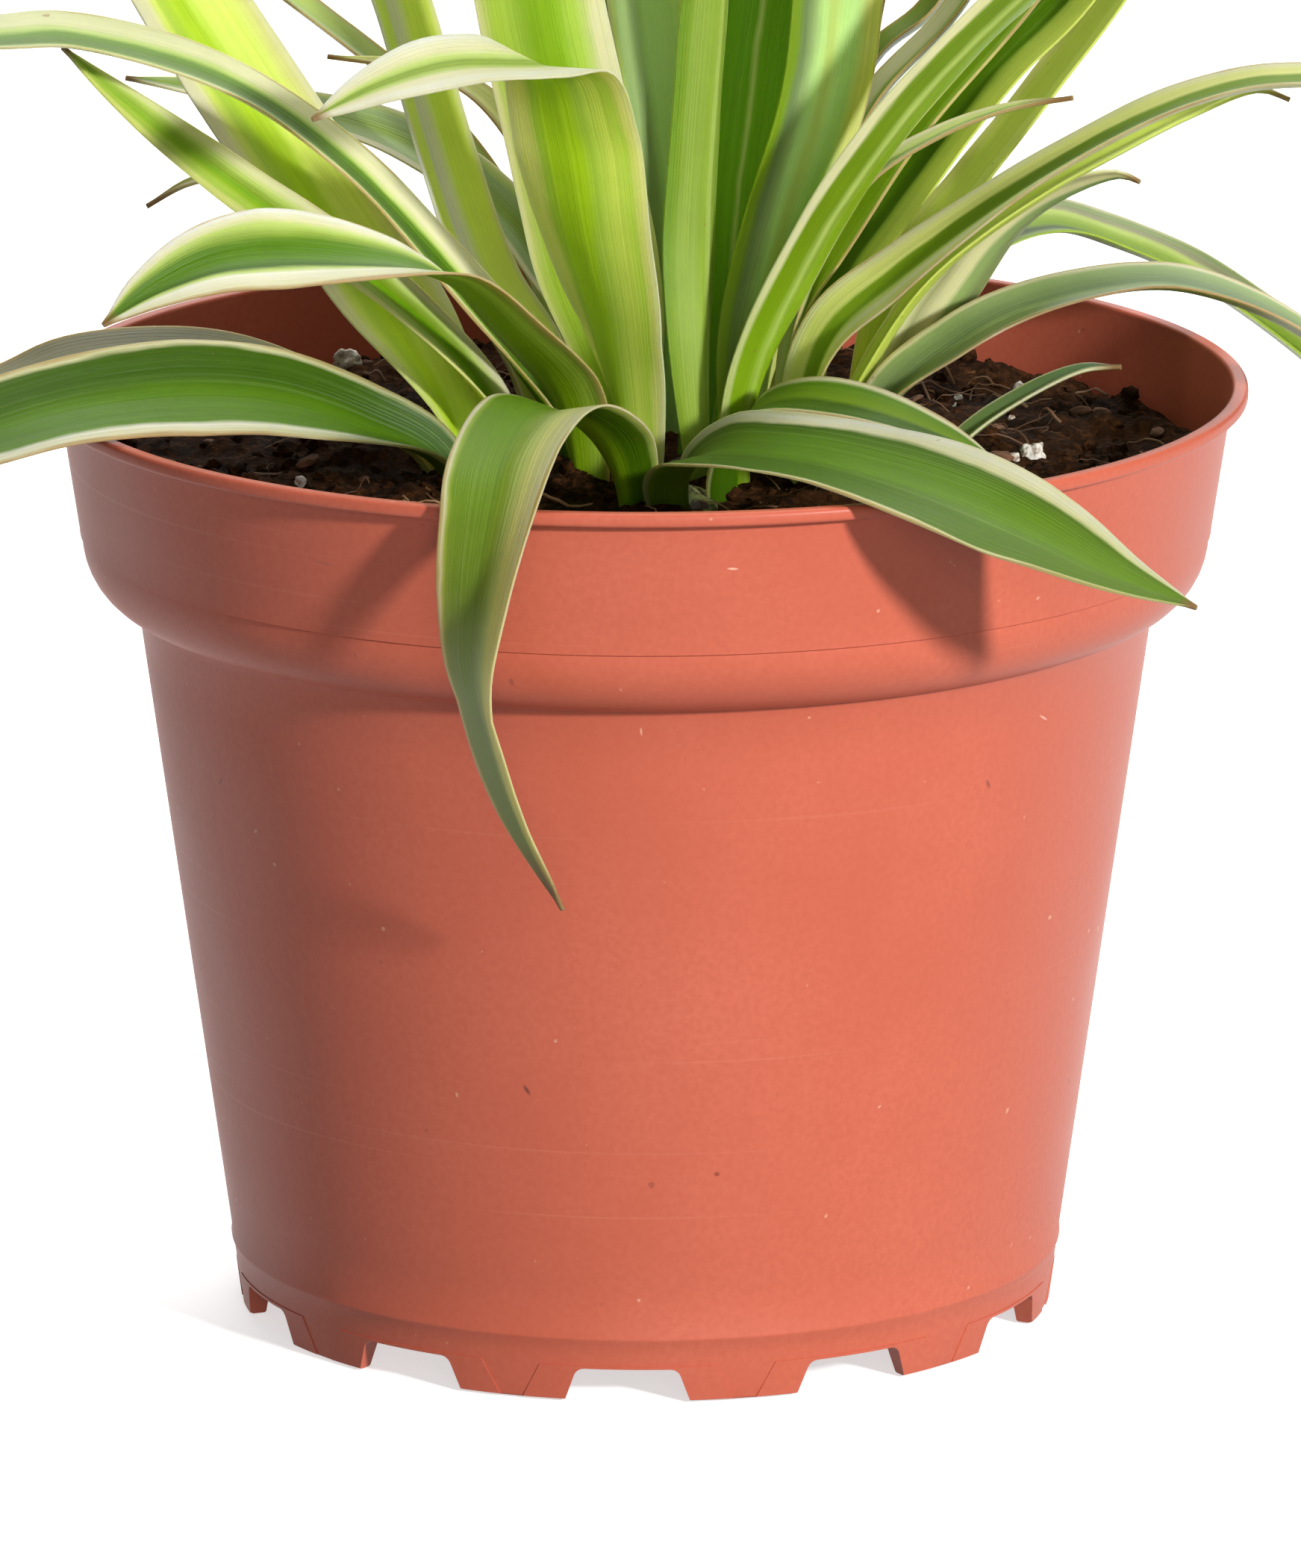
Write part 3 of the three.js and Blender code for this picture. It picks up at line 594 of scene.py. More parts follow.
bpy.ops.mesh.normals_make_consistent(inside=False)
bpy.ops.object.mode_set(mode="OBJECT")
bpy.ops.object.shade_smooth_by_angle(angle=math.radians(80))
material, links, shader, place = new_finish("coir_fibre")
ages = grain(place, 130, 2)
colour = laid(tone(80, 52, 32), tone(150, 112, 76), ages, (0.38, 0.62))
links.new(colour, shader.inputs["Base Color"])
shader.inputs["Roughness"].default_value = 0.8
relief(shader, ages, 0.1)
coir.data.materials.append(material)
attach(coir, "root")

# Crown
# The growing points, where the leaf bases are packed together like overlapping scales, pale green
# to cream, with peat dust between them. One dome of scales is shaped for each growing point.
growing_points = [
    (-15.5, -10.5, 8), (-4, -6, 9), (6, -7.5, 9), (3.5, -21.5, 8),
    (17.5, -8, 8.5), (-4.5, 8.5, 9), (8, 9, 9), (18.5, 6.5, 7),
]
crown_level = 80.4
crown_height = 7.6

domes = []
for x, y, radius in growing_points:
    bpy.ops.mesh.primitive_uv_sphere_add(segments=40, ring_count=28, radius=1)
    dome = bpy.context.object
    for vertex in dome.data.vertices:
        turn = math.atan2(vertex.co.y, vertex.co.x)
        dents = noise.noise(vertex.co * 3 + Vector((x, y, 0)))
        scales = 0.05 * math.cos(5 * turn + x + 7 * vertex.co.z) + 0.04 * dents
        wide = radius * (1 + scales) * (1 - 0.35 * max(0, vertex.co.z) ** 2)
        high = crown_level + crown_height * vertex.co.z + 4 * scales
        vertex.co = Vector((x + wide * vertex.co.x, y + wide * vertex.co.y, high)) * MM
    domes.append(dome)
crown = joined(domes, "leaf_bases")
bpy.ops.object.shade_smooth_by_angle(angle=math.radians(60))
material, links, shader, place = new_finish("leaf_base_skin")
patches = grain(place, 130, 3)
dust = grain(place, 420, 4, 0.65)
colour = laid(tone(92, 116, 40), tone(176, 182, 112), patches, (0.35, 0.65))
colour = laid(colour, tone(58, 40, 28), dust, (0.42, 0.56))
links.new(colour, shader.inputs["Base Color"])
shader.inputs["Roughness"].default_value = 0.7
relief(shader, dust, 0.3)
crown.data.materials.append(material)
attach(crown, "root")
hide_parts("crown")

# Leaves: how a blade is made
# Each blade is a long thin sheet of living leaf, folded to a gutter at its root and flatter further
# on, green with cream margins. It starts as a flat grid, is laid along its centre line, and gets
# its thickness, thinner towards the margins, from a Solidify modifier.
# The brightest yellow tone is painted light: sunlight on and through blades that lie in shade. Some
# blades below use the pale tones as painted light too.
TONES = {
    "cream": (226, 219, 178), "white": (236, 232, 210), "tan": (182, 150, 106), "lime": (178, 206, 76),
    "lemon": (212, 228, 104), "bright": (142, 180, 16), "vivid": (112, 166, 8), "green": (88, 128, 8),
    "deep": (62, 97, 2), "moss": (116, 146, 14), "grey": (110, 132, 86), "sage": (150, 172, 112),
    "mint": (192, 226, 148), "pale": (186, 204, 114), "olive": (106, 118, 62), "light": (140, 164, 60),
    "teal": (88, 118, 90), "dark": (46, 73, 6), "mauve": (158, 154, 126), "straw": (222, 222, 136),
    "brown": (134, 96, 58), "acid": (186, 220, 36), "sun": (226, 250, 108),
}
across_count = 14
row_spacing = 1.15
curve_steps = 24
slope_step = 0.4
root_fold = 52
root_width = 0.42
root_length = 30
tip_width = 0.5
tip_power = 0.9
ripple_height = 0.22
blade_thickness = 0.5
margin_thickness = 0.45
# Spans, in millimetres from the root, of the overlay near the root, the blade's base colour with painted
# shade and light, and of the painted sheen and light further out.
root_shading_reach = (34, 8)
outer_sheen_reach = (30, 70)


def smooth(share):
    """A share from 0 to 1 that starts and ends gently."""
    return share * share * (3 - 2 * share)


def centre_line(path):
    """Close points on a smooth curve through a leaf's points, with their distances from the root."""
    knots = [Vector(point) for point in path]
    knots = [2 * knots[0] - knots[1]] + knots + [2 * knots[-1] - knots[-2]]
    line = []
    for before, start, end, after in zip(knots, knots[1:], knots[2:], knots[3:]):
        d0, d1, d2 = [math.sqrt((b - a).length) for a, b in ((before, start), (start, end), (end, after))]
        out = ((start - before) / d0 - (end - before) / (d0 + d1) + (end - start) / d1) * d1
        into = ((end - start) / d1 - (after - start) / (d1 + d2) + (after - end) / d2) * d1
        for i in range(curve_steps):
            t = i / curve_steps
            bent = (2 * start - 2 * end + out + into) * t ** 3
            line.append(start + out * t + (3 * end - 3 * start - 2 * out - into) * t ** 2 + bent)
    line.append(knots[-2])
    marks = [0.0]
    for first, second in zip(line, line[1:]):
        marks.append(marks[-1] + (second - first).length)
    return line, marks


def point_at(line, marks, distance):
    """The point of the centre line at a distance from the root."""
    place = min(max(bisect.bisect_right(marks, distance), 1), len(line) - 1)
    share = (distance - marks[place - 1]) / (marks[place] - marks[place - 1])
    return line[place - 1].lerp(line[place], share)


def between(values, share):
    """A value read from evenly spaced ones."""
    place = min(share * (len(values) - 1), len(values) - 1.000001)
    below = int(place)
    return values[below] + (values[below + 1] - values[below]) * (place - below)


def gutter(side):
    """Height across a folded blade, from 0 in its rounded middle to 1 at its margins."""
    return (math.sqrt(side * side + 0.02) - 0.141) / 0.869


def ramp(value, bands):
    """Colours across the blade: pairs of a place from 0 to 1 and a tone's name."""
    node, links = added(value, "ShaderNodeValToRGB")
    words = bands.split()
    stops = [(float(place), tone(*TONES[name])) for place, name in zip(words[::2], words[1::2])]
    elements = node.color_ramp.elements
    while len(elements) < len(stops):
        elements.new(1)
    for element, (place, colour) in zip(elements, stops):
        element.position = place
        element.color = colour
    links.new(value, node.inputs["Fac"])
    return node.outputs["Color"]


def leaf_skin(name, width, length, top, under, seed, tip, root, outer):
    """Satin leaf skin: bands across the blade, fine lengthwise veins, mottling and a dry tip."""
    material, links, shader, place = new_finish(name)
    sheet = place.node.outputs["UV"]
    split = added(sheet, "ShaderNodeSeparateXYZ")[0]
    links.new(sheet, split.inputs[0])
    side, along = split.outputs[0], split.outputs[1]

    def stretched(across, lengthwise, detail):
        """Noise on the sheet, so many grains across the blade and along it."""
        shift = (seed, seed * 0.37, seed * 0.61)
        return grain(placed(sheet, location=shift, scale=(across, lengthwise, 1)), 1, detail)

    wander = stretched(2.5, length / 16, 3)
    streaks = stretched(width * 1.5, length / 45, 3)
    veins = stretched(width * 4.5, length / 60, 2)
    mottle = grain(place, 260, 4)
    flecks = grain(place, 640, 1)
    drift = added(side, "ShaderNodeMath")[0]
    drift.operation = "ADD"
    links.new(side, drift.inputs[0])
    links.new(ranged(wander, 0.25, 0.75, -0.035, 0.035), drift.inputs[1])
    below = added(side, "ShaderNodeAttribute")[0]
    below.attribute_name = "under"
    colour = blend(below.outputs["Fac"], ramp(drift.outputs[0], top), ramp(drift.outputs[0], under))
    # Over the root, the blade's base colour, darkened as painted shade on some blades and brightened as
    # painted light on others; over the outer part, a painted sheen and painted light.
    for (share, shade), (start, end) in ((root, root_shading_reach), (outer, outer_sheen_reach)):
        span = (start / length, end / length)
        colour = laid(colour, tone(*TONES[shade]), along, span, (0.0, share))
    colour = laid(colour, (0.76, 0.80, 0.66, 1), streaks, (0.3, 0.7), (0.5, 0.0), "MULTIPLY")
    colour = laid(colour, (0.80, 0.86, 0.68, 1), veins, (0.30, 0.46), (0.45, 0.0), "MULTIPLY")
    colour = laid(colour, tone(206, 222, 140), veins, (0.58, 0.72), (0.0, 0.08))
    colour = laid(colour, (0.84, 0.86, 0.80, 1), mottle, (0.35, 0.65), (0.35, 0.0), "MULTIPLY")
    colour = laid(colour, tone(140, 104, 62), flecks, (0.80, 0.83), (0.0, 0.6))
    dry = (1 - tip / length, 1 - 0.25 * tip / length)
    colour = laid(colour, tone(*TONES["brown"]), along, dry, (0.0, 0.9))
    links.new(colour, shader.inputs["Base Color"])
    links.new(ranged(streaks, 0.3, 0.7, 0.36, 0.50), shader.inputs["Roughness"])
    shader.inputs["Specular IOR Level"].default_value = 0.22
    shader.inputs["Subsurface Weight"].default_value = 0.8
    shader.inputs["Subsurface Radius"].default_value = (1.0, 1.0, 0.4)
    shader.inputs["Subsurface Scale"].default_value = 1.5 * MM
    relief(shader, veins, 0.10, 0.8)
    return material


def grow_leaf(name, width, full, fold, roll, path, top, under=None, heading=None, tip=2.0,
              root=(0.35, "lime"), outer=(0.0, "lime")):
    """One leaf: its sheet laid along the path, its thickness, its skin and its place in the frame.

    It narrows beyond the share full of its length. Fold, roll and heading, the way it goes seen
    from above, are in degrees. Top and under are the bands on its two faces, and tip is the length
    of its dry end. Root and outer are the shares and tones laid over its inner and outer parts: near
    the root its base colour with painted shade on some leaves and painted light on others, further
    out a painted sheen and painted light.
    """
    line, marks = centre_line(path)
    length = marks[-1]
    if heading is None:
        heading = math.degrees(math.atan2(path[-1][1] - path[0][1], path[-1][0] - path[0][0]))
    sideways = Vector((-math.sin(math.radians(heading)), math.cos(math.radians(heading)), 0))
    opening = min(root_length, 0.3 * length)
    seed = 3.7 * len(bpy.data.materials)

    bpy.ops.mesh.primitive_grid_add(
        x_subdivisions=across_count, y_subdivisions=max(30, round(length / row_spacing)), size=2)
    piece = bpy.context.object
    piece.name = name
    thick_middle = piece.vertex_groups.new(name="thick")
    for vertex in piece.data.vertices:
        side, share = vertex.co.x, (vertex.co.y + 1) / 2
        distance = share * length
        middle = point_at(line, marks, distance)
        along = point_at(line, marks, min(length, distance + slope_step))
        along = (along - point_at(line, marks, max(0, distance - slope_step))).normalized()
        across = (sideways - along * sideways.dot(along)).normalized()
        across = Matrix.Rotation(math.radians(between(roll, share)), 3, along) @ across
        up = along.cross(across)
        opened = smooth(min(1, distance / opening))
        angle = math.radians(root_fold + (fold - root_fold) * opened)
        past = max(0, (share - full) / (1 - full))
        wide = width * (root_width + (1 - root_width) * opened) * max(0, 1 - past * past) ** tip_power
        half = max(tip_width, wide) / 2
        ripple = noise.noise(Vector((distance / 9 + seed, side * 1.3, seed)))
        ripple *= ripple_height * abs(side) ** 3 * opened * min(1, half / 3)
        lift = half * math.sin(angle) * (gutter(side) - 0.5) + ripple
        vertex.co = (middle + across * side * half * math.cos(angle) + up * lift) * MM
        thick_middle.add([vertex.index], 1 - abs(side) ** 3, "REPLACE")
    bpy.ops.object.mode_set(mode="EDIT")
    bpy.ops.mesh.select_all(action="SELECT")
    bpy.ops.mesh.flip_normals()
    bpy.ops.object.mode_set(mode="OBJECT")
    shell = len(piece.data.vertices)
    solid = piece.modifiers.new("thickness", "SOLIDIFY")
    solid.thickness = blade_thickness * MM
    solid.offset = 0
    solid.vertex_group = "thick"
    solid.thickness_vertex_group = margin_thickness
    bpy.ops.object.modifier_apply(modifier=solid.name)
    piece.vertex_groups.clear()
    values = [0.0 if vertex.index < shell else 1.0 for vertex in piece.data.vertices]
    piece.data.attributes.new("under", "FLOAT", "POINT").data.foreach_set("value", values)
    bpy.ops.object.shade_smooth_by_angle(angle=math.radians(50))
    piece.data.materials.append(
        leaf_skin("skin_" + name, width, length, top, under or top, seed, tip, root, outer))
    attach(piece, "root")
    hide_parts(name.replace("blade", "leaf"))


# Leaves: left side
# Seven leaves arch out over the left of the lip. Two lie low and broad, and the higher ones run
# out of the photograph, so their far halves are the natural rest of the same arches.
grow_leaf(
    "blade_left_1", 13, 0.45, 14, (-20, -36, -12, 0, 0),
    [(-16, -14, 80), (-20, -14.5, 89.5), (-27, -17, 93.5), (-37.5, -20, 96.8),
     (-48.5, -23, 97.5), (-63, -28, 95.5), (-95, -36, 82), (-120, -43, 60), (-132, -47, 38)],
    "0 tan .03 cream .07 deep .3 deep .45 green .65 green .82 green .88 white .96 cream 1 tan",
    tip=4, root=(0.7, "deep"), outer=(0.1, "sage"))
grow_leaf(
    "blade_left_2", 10, 0.45, 14, (-21, -14, -12, 0, 0),
    [(-19.5, -8.5, 80), (-21.5, -7.5, 87.5), (-27, -5.5, 91), (-42, -2, 96.5), (-56.5, -3, 96.5),
     (-64, -5, 94), (-92, -8, 84), (-112, -11, 66), (-120, -12, 54)],
    "0 tan .06 mauve .2 mauve .8 mauve .85 cream 1 tan")
grow_leaf(
    "blade_left_3", 12, 0.62, 14, (0, 12, 0, -38, -45),
    [(-5, -12.5, 80), (-7.5, -14.5, 95), (-13.5, -19.5, 103.5), (-19.5, -24, 110),
     (-30, -29.5, 113), (-41, -34, 113.5), (-48, -37, 111), (-52.5, -39, 108)],
    "0 tan .03 white .12 cream .18 pale .26 light .33 green .45 green .55 green .66 deep "
    ".72 pale .77 white .95 cream 1 tan",
    under="0 cream .06 light .1 moss .3 moss .45 bright .7 bright .85 lime .92 light 1 tan",
    root=(0.3, "moss"))
grow_leaf(
    "blade_left_4", 9, 0.5, 16, (-20, -20, -27, -35, -40),
    [(-11, -7.5, 80), (-15, -8.5, 93.5), (-26, -10, 105.5), (-39.5, -13, 115.5), (-53, -16, 127),
     (-57, -17, 131)],
    "0 tan .05 cream .1 cream .2 pale .28 light .36 moss .42 vivid .5 bright .6 lime "
    ".8 lime .86 straw 1 straw",
    root=(0.4, "deep"), outer=(0.5, "lime"))
grow_leaf(
    "blade_left_5", 10, 0.5, 16, (-35, -18, -4, 0, 0),
    [(-6.5, -5.5, 80), (-8, -4.5, 90), (-12, -4, 96.5), (-19.5, -6, 106.5), (-30.5, -9, 118.8),
     (-41.5, -13, 127), (-56, -19, 132.4), (-63, -22, 132.9), (-92, -27, 131.4),
     (-122, -33, 118), (-145, -37, 94), (-155, -39, 74)],
    "0 tan .03 cream .14 cream .22 cream .3 pale .36 green .46 deep .7 deep .8 green "
    ".87 light .95 cream 1 tan",
    root=(0.5, "green"), outer=(0.35, "sage"))
# Most of this blade's colour is painted light: its brightest yellow bands and the acid green over its
# root stand for sunlight on a blade that lies in shade.
grow_leaf(
    "blade_left_6", 12.5, 0.5, 12, (-25, -38, -15, 0, 0),
    [(-15.5, -7.5, 80), (-18.5, -7, 91.5), (-26.5, 0, 103.5), (-36, 5, 116.5), (-45.5, 9, 130.5),
     (-64, 14, 160), (-88, 21, 183), (-115, 29, 192), (-139, 35, 182), (-155, 40, 160)],
    "0 cream .08 straw .2 sun .28 sun .4 sun .5 acid .6 acid .75 lime .82 lemon .92 cream 1 cream",
    root=(0.8, "acid"), outer=(0.1, "sage"))
# This blade's colour is painted light nearly all over: its bright yellow and white bands stand for
# sunlight on a blade that lies in the shade of the leaves in front of it.
grow_leaf(
    "blade_left_7", 10, 0.5, 20, (-8, -12, -5, 0),
    [(-6, 0, 80), (-7, 1.5, 88.5), (-11, 5, 96), (-16, 8, 102.5), (-25, 13, 130), (-34, 18, 162),
     (-47, 23, 192), (-66, 30, 212), (-88, 38, 215), (-106, 44, 202)],
    "0 cream .08 sun .2 sun .33 sun .45 white .6 white .7 sun .8 sun .93 sun .97 white 1 white",
    root=(0.5, "straw"), outer=(0.35, "lime"))

# Leaves: front
# A broad leaf stands up and folds over to the left, two short ones lie forward over the lip, and
# one bends down over the band and hangs in front of the pot, ending in a dry brown tip.
grow_leaf(
    "blade_front_1", 13, 0.6, 10, (-35, -28, 8, -18, -13),
    [(-0.6, -10.8, 80), (-0.8, -10.8, 88.5), (-3, -13, 101.5), (-5.5, -17, 113.5),
     (-7, -21.5, 123), (-9, -29, 131.5), (-12.5, -34, 133), (-19, -38, 133.5), (-26, -42, 132),
     (-32, -45, 129.5)],
    "0 white .25 cream .36 pale .43 light .52 light .6 pale .68 cream .9 white 1 cream",
    under="0 cream .08 straw .15 straw .22 lime .3 acid .38 acid .46 acid .52 acid "
          ".6 lime .75 lemon .86 lime .93 straw 1 cream",
    heading=250)
grow_leaf(
    "blade_front_2", 13, 0.6, 12, (15, 15, 15, 25, 10),
    [(3.5, -25.5, 80), (3, -26, 86), (3, -29, 91), (5.5, -33.5, 94.5), (10, -40, 96.3),
     (17, -47, 97), (24, -53, 96.5), (31, -58, 95), (38, -62, 92.5), (45, -66, 89.5),
     (52.5, -69, 87)],
    "0 tan .02 cream .04 deep .3 deep .46 green .7 green .84 deep .88 cream .96 white 1 cream",
    under="0 cream .05 bright .1 moss .5 bright .9 bright 1 cream",
    root=(0.8, "dark"), outer=(0.4, "moss"))
grow_leaf(
    "blade_front_3", 9, 0.5, 12, (0, 15, 11, 8, 8),
    [(8.5, -19.5, 80), (8, -19.5, 87), (8.5, -20.5, 91.5), (10, -22.5, 95.5), (14, -26, 97.8),
     (20.5, -29, 97.8), (26.5, -32, 96.5), (34, -37, 94)],
    "0 tan .04 cream .08 deep .5 deep .6 moss .85 green .92 cream 1 tan",
    root=(0.6, "deep"))
grow_leaf(
    "blade_front_4", 12, 0.45, 12, (-30, -8, 12, 48, 28),
    [(-2, -23.5, 80), (-1.5, -24, 85.5), (-2, -28, 91), (-4.5, -35, 97), (-9.5, -44, 101),
     (-13, -54, 99), (-14.5, -60.5, 94.8), (-16, -64.5, 87), (-16.5, -65, 79.5), (-15, -64, 72),
     (-12.5, -62, 64.5), (-8, -58, 54.5)],
    "0 tan .03 cream .06 light .1 green .3 green .45 green .52 moss .58 light .67 pale "
    ".8 straw .97 cream 1 tan",
    under="0 cream .08 green .25 green .38 bright .6 bright .7 green .9 green .96 pale 1 cream",
    heading=252, tip=9, root=(0.3, "deep"), outer=(0.3, "lemon"))

# Leaves: upright
# Six leaves rise steeply from the crown and leave the photograph at the top. Each is completed
# with a high arch, falling towards its own side.
plain_bands = "0 tan .03 cream .12 cream .17 moss .5 light .82 moss .87 cream .97 cream 1 tan"

grow_leaf(
    "blade_up_1", 13, 0.5, 10, (0, 0, 0, 0),
    [(-2, -5, 80), (-2.5, -3, 95.5), (-5, -4, 107), (-8.5, -6, 124), (-10.5, -6, 133.5),
     (-15, -8, 166), (-21, -14, 196), (-30, -26, 224), (-42, -45, 240), (-55, -68, 240),
     (-68, -90, 224), (-78, -106, 200)],
    "0 cream .08 pale .15 lime .3 lime .42 bright .6 bright .74 lime .82 pale .9 cream 1 cream",
    heading=265)
# The pale mint bands are painted light, the glow through a blade that lies in shade.
grow_leaf(
    "blade_up_2", 11, 0.5, 14, (20, 25, 10, 0),
    [(1.5, 0.5, 80), (2.5, 4, 95.5), (1.5, 10, 115.5), (-0.5, 14, 129.5), (-5, 20, 162),
     (-10, 30, 192), (-17, 46, 216), (-25, 66, 228), (-33, 86, 222), (-40, 102, 202)],
    "0 cream .05 mint .3 mint .45 mint .6 sage .9 sage .94 pale 1 cream",
    root=(0.4, "green"))
grow_leaf(
    "blade_up_3", 8.5, 0.5, 24, (5, 15, 5, 0),
    [(6, -13.4, 80), (5.1, -11.8, 97), (5, -9.4, 111.5), (6.5, -8, 134), (9, -9, 166),
     (14, -12, 198), (22, -20, 226), (34, -34, 243), (50, -54, 244), (65, -74, 228),
     (76, -90, 204)],
    "0 green .1 moss .2 light .35 light .5 light .62 pale .7 light .85 light .92 moss 1 pale")
grow_leaf(
    "blade_up_4", 12, 0.5, 14, (0, 27, 10, 0),
    [(4, -5, 80), (7.5, -2, 99), (9, 0, 115), (11.5, 3, 132), (17, 6, 164), (24, 11, 196),
     (34, 19, 224), (49, 31, 241), (68, 45, 241), (86, 58, 224)],
    "0 light .05 vivid .44 vivid .49 pale .54 vivid .9 vivid 1 deep",
    root=(0.4, "deep"))
# The pale mint and straw bands are painted light and painted sheen on a blade that lies in shade.
grow_leaf(
    "blade_up_5", 12, 0.5, 16, (-25, -27, -10, 0, 0),
    [(9, -8.3, 80), (11, -6.6, 98.5), (14, -6, 109.5), (18.5, -5, 125), (19.5, -5, 133.5),
     (22, -6, 164), (27, -9, 194), (36, -15, 220), (51, -24, 236), (70, -34, 235),
     (88, -43, 216), (98, -48, 196)],
    "0 moss .06 moss .12 grey .2 sage .28 mint .36 pale .46 mint .62 mint .8 straw .96 straw 1 tan")
grow_leaf(
    "blade_up_6", 11, 0.5, 14, (0, 0, 0),
    [(7.5, 4, 80), (10, 11, 104), (11, 20, 140), (13, 32, 176), (17, 49, 206), (22, 70, 220),
     (29, 89, 212), (34, 102, 190)],
    plain_bands)

# Leaves: right side
# Thirteen leaves fan out to the right, from broad low arches to short thin young leaves. Those
# that run out of the photograph are completed too.
grow_leaf(
    "blade_right_1", 9, 0.5, 16, (-22, -25, -15, 0),
    [(10, -14, 80), (9.5, -14.5, 93.5), (14.5, -15, 106.5), (22.5, -17, 120.5),
     (35.5, -19, 135.5), (56, -25, 152), (82, -31, 161), (109, -37, 156), (133, -43, 138),
     (146, -46, 118)],
    "0 cream .08 cream .13 moss .3 moss .4 pale .46 light .55 bright .88 bright .94 pale 1 cream",
    root=(0.8, "bright"))
grow_leaf(
    "blade_right_2", 7, 0.5, 16, (28, 18, 10, 0),
    [(13, -3.6, 80), (15, -2.4, 100.5), (19.5, -3, 108.5), (27.5, -3, 120.5), (37.5, -3, 132.5),
     (53, -5, 153), (73, -8, 170), (96, -11, 179), (118, -15, 176), (134, -18, 164)],
    "0 tan .06 straw .12 light .3 bright .84 bright .9 cream 1 tan",
    root=(0.6, "lime"))
# The bright yellow bands on the first half of this blade are painted light: sunlight on a blade that lies
# in shade.
grow_leaf(
    "blade_right_3", 11, 0.5, 16, (23, 18, 10, 0),
    [(16, 2.5, 80), (18, 4, 100.5), (25, 5, 111.5), (35, 6, 124.5), (41.5, 7, 131),
     (60, 10, 154), (83, 14, 171), (109, 17, 177), (134, 22, 168), (155, 26, 146)],
    "0 sun .3 sun .4 sun .47 lime .52 green .6 green .95 green 1 pale")
# This blade's colour is painted light all over: bright yellow bands and a lemon root stand for sunlight
# on a blade that lies in shade.
grow_leaf(
    "blade_right_4", 8, 0.5, 16, (8, 3, 0, 0),
    [(19.5, 6.5, 80), (25, 9, 102), (33, 12, 112), (46.5, 16, 129), (62, 21, 152), (80, 26, 172),
     (102, 32, 184), (124, 38, 182), (140, 43, 168)],
    "0 sun .3 sun .5 sun .8 sun 1 straw",
    root=(0.5, "lemon"))
grow_leaf(
    "blade_right_5", 4.5, 0.4, 20, (18, 18, 16),
    [(13.5, -9.6, 80), (14.6, -8.6, 101.5), (21.5, -8.2, 115.5), (28.5, -8.8, 120.5),
     (35.5, -10, 123.5), (42, -12, 125)],
    "0 tan .08 cream .14 sage .45 sage .6 pale .93 cream 1 tan",
    tip=6, root=(0.6, "pale"))
grow_leaf(
    "blade_right_6", 10, 0.5, 14, (45, 8, -5, 0, 0),
    [(17, -14.2, 80), (15.6, -14.4, 94.5), (18.1, -14.5, 101.8), (24.5, -13.5, 107.3),
     (39.5, -13, 118), (54, -14, 125.5), (64.5, -15, 127.5), (94, -18, 124), (120, -21, 108),
     (140, -24, 84), (150, -26, 60)],
    "0 tan .04 cream .1 straw .2 white .28 white .36 straw .42 pale .48 moss .69 moss "
    ".74 straw .85 straw .96 cream 1 tan")
# This blade's colour is painted light all over: its bright yellow and lemon bands stand for sunlight on a
# blade that lies in shade.
grow_leaf(
    "blade_right_7", 6, 0.5, 18, (5, 5, 8, 12),
    [(17.5, -5, 80), (20.5, -5, 93), (28.5, -6, 106), (39.5, -6, 114.5), (47, -7, 119),
     (54, -7, 122.5), (60.5, -8, 125), (63.5, -8, 124)],
    "0 sun .15 sun .3 sun .4 lemon .6 lemon .7 sun .85 sun 1 straw",
    tip=5)
grow_leaf(
    "blade_right_8", 9, 0.6, 16, (-25, -30, -40, -30, -25),
    [(21.5, -1, 80), (23, 1, 89.5), (27, 2, 96.5), (31.5, 2, 103), (35.5, 1.5, 108.5),
     (40.5, 0.5, 112.5), (47, -1, 115), (49, -2, 114.5)],
    "0 cream .12 mauve .25 cream .33 cream .4 sage .9 sage 1 cream")
grow_leaf(
    "blade_right_9", 11, 0.5, 16, (9, 7, 20, 26, 10),
    [(20.5, 11.5, 80), (25.5, 16, 95.5), (32.5, 18, 103.5), (40.5, 22, 105.5), (48, 25, 103),
     (55.5, 28, 99), (66.5, 32, 90.5), (81, 36, 76), (91, 39, 56), (96, 41, 38)],
    "0 moss .12 moss .2 deep .28 dark .47 dark .55 moss .65 light .75 pale .82 mauve .94 sage 1 cream",
    under="0 lime .2 bright .32 moss .4 dark .6 dark .85 moss 1 pale",
    root=(0.5, "green"))
grow_leaf(
    "blade_right_10", 10, 0.5, 14, (25, 15, 3, -5, 0),
    [(21, -11.5, 80), (23, -11, 93.5), (30.5, -9.5, 99.8), (37.5, -7, 103), (49, -7, 105.5),
     (55.5, -8, 105), (65, -9, 101), (75, -10, 92), (84, -11, 80)],
    "0 tan .05 cream .1 sage .5 sage .6 grey .9 sage .95 cream 1 tan",
    root=(0.3, "olive"))
grow_leaf(
    "blade_right_11", 4, 0.4, 20, (5, 8, 15),
    [(24, -12.5, 82), (31, -10.5, 90), (36, -9, 93.5), (43, -9, 97), (47, -10, 97.5)],
    "0 cream .15 sage .32 sage .42 teal .9 teal 1 cream",
    tip=3)
grow_leaf(
    "blade_right_12", 6, 0.5, 18, (0, 0, 0),
    [(11.5, 2, 80), (16, 5, 106.5), (22.5, 8, 120.5), (31.5, 10, 130.5), (42, 12.5, 152),
     (59, 17, 170), (78, 21, 178), (96, 25, 174)],
    "0 tan .1 olive .25 light .5 light .6 cream .9 cream 1 tan")
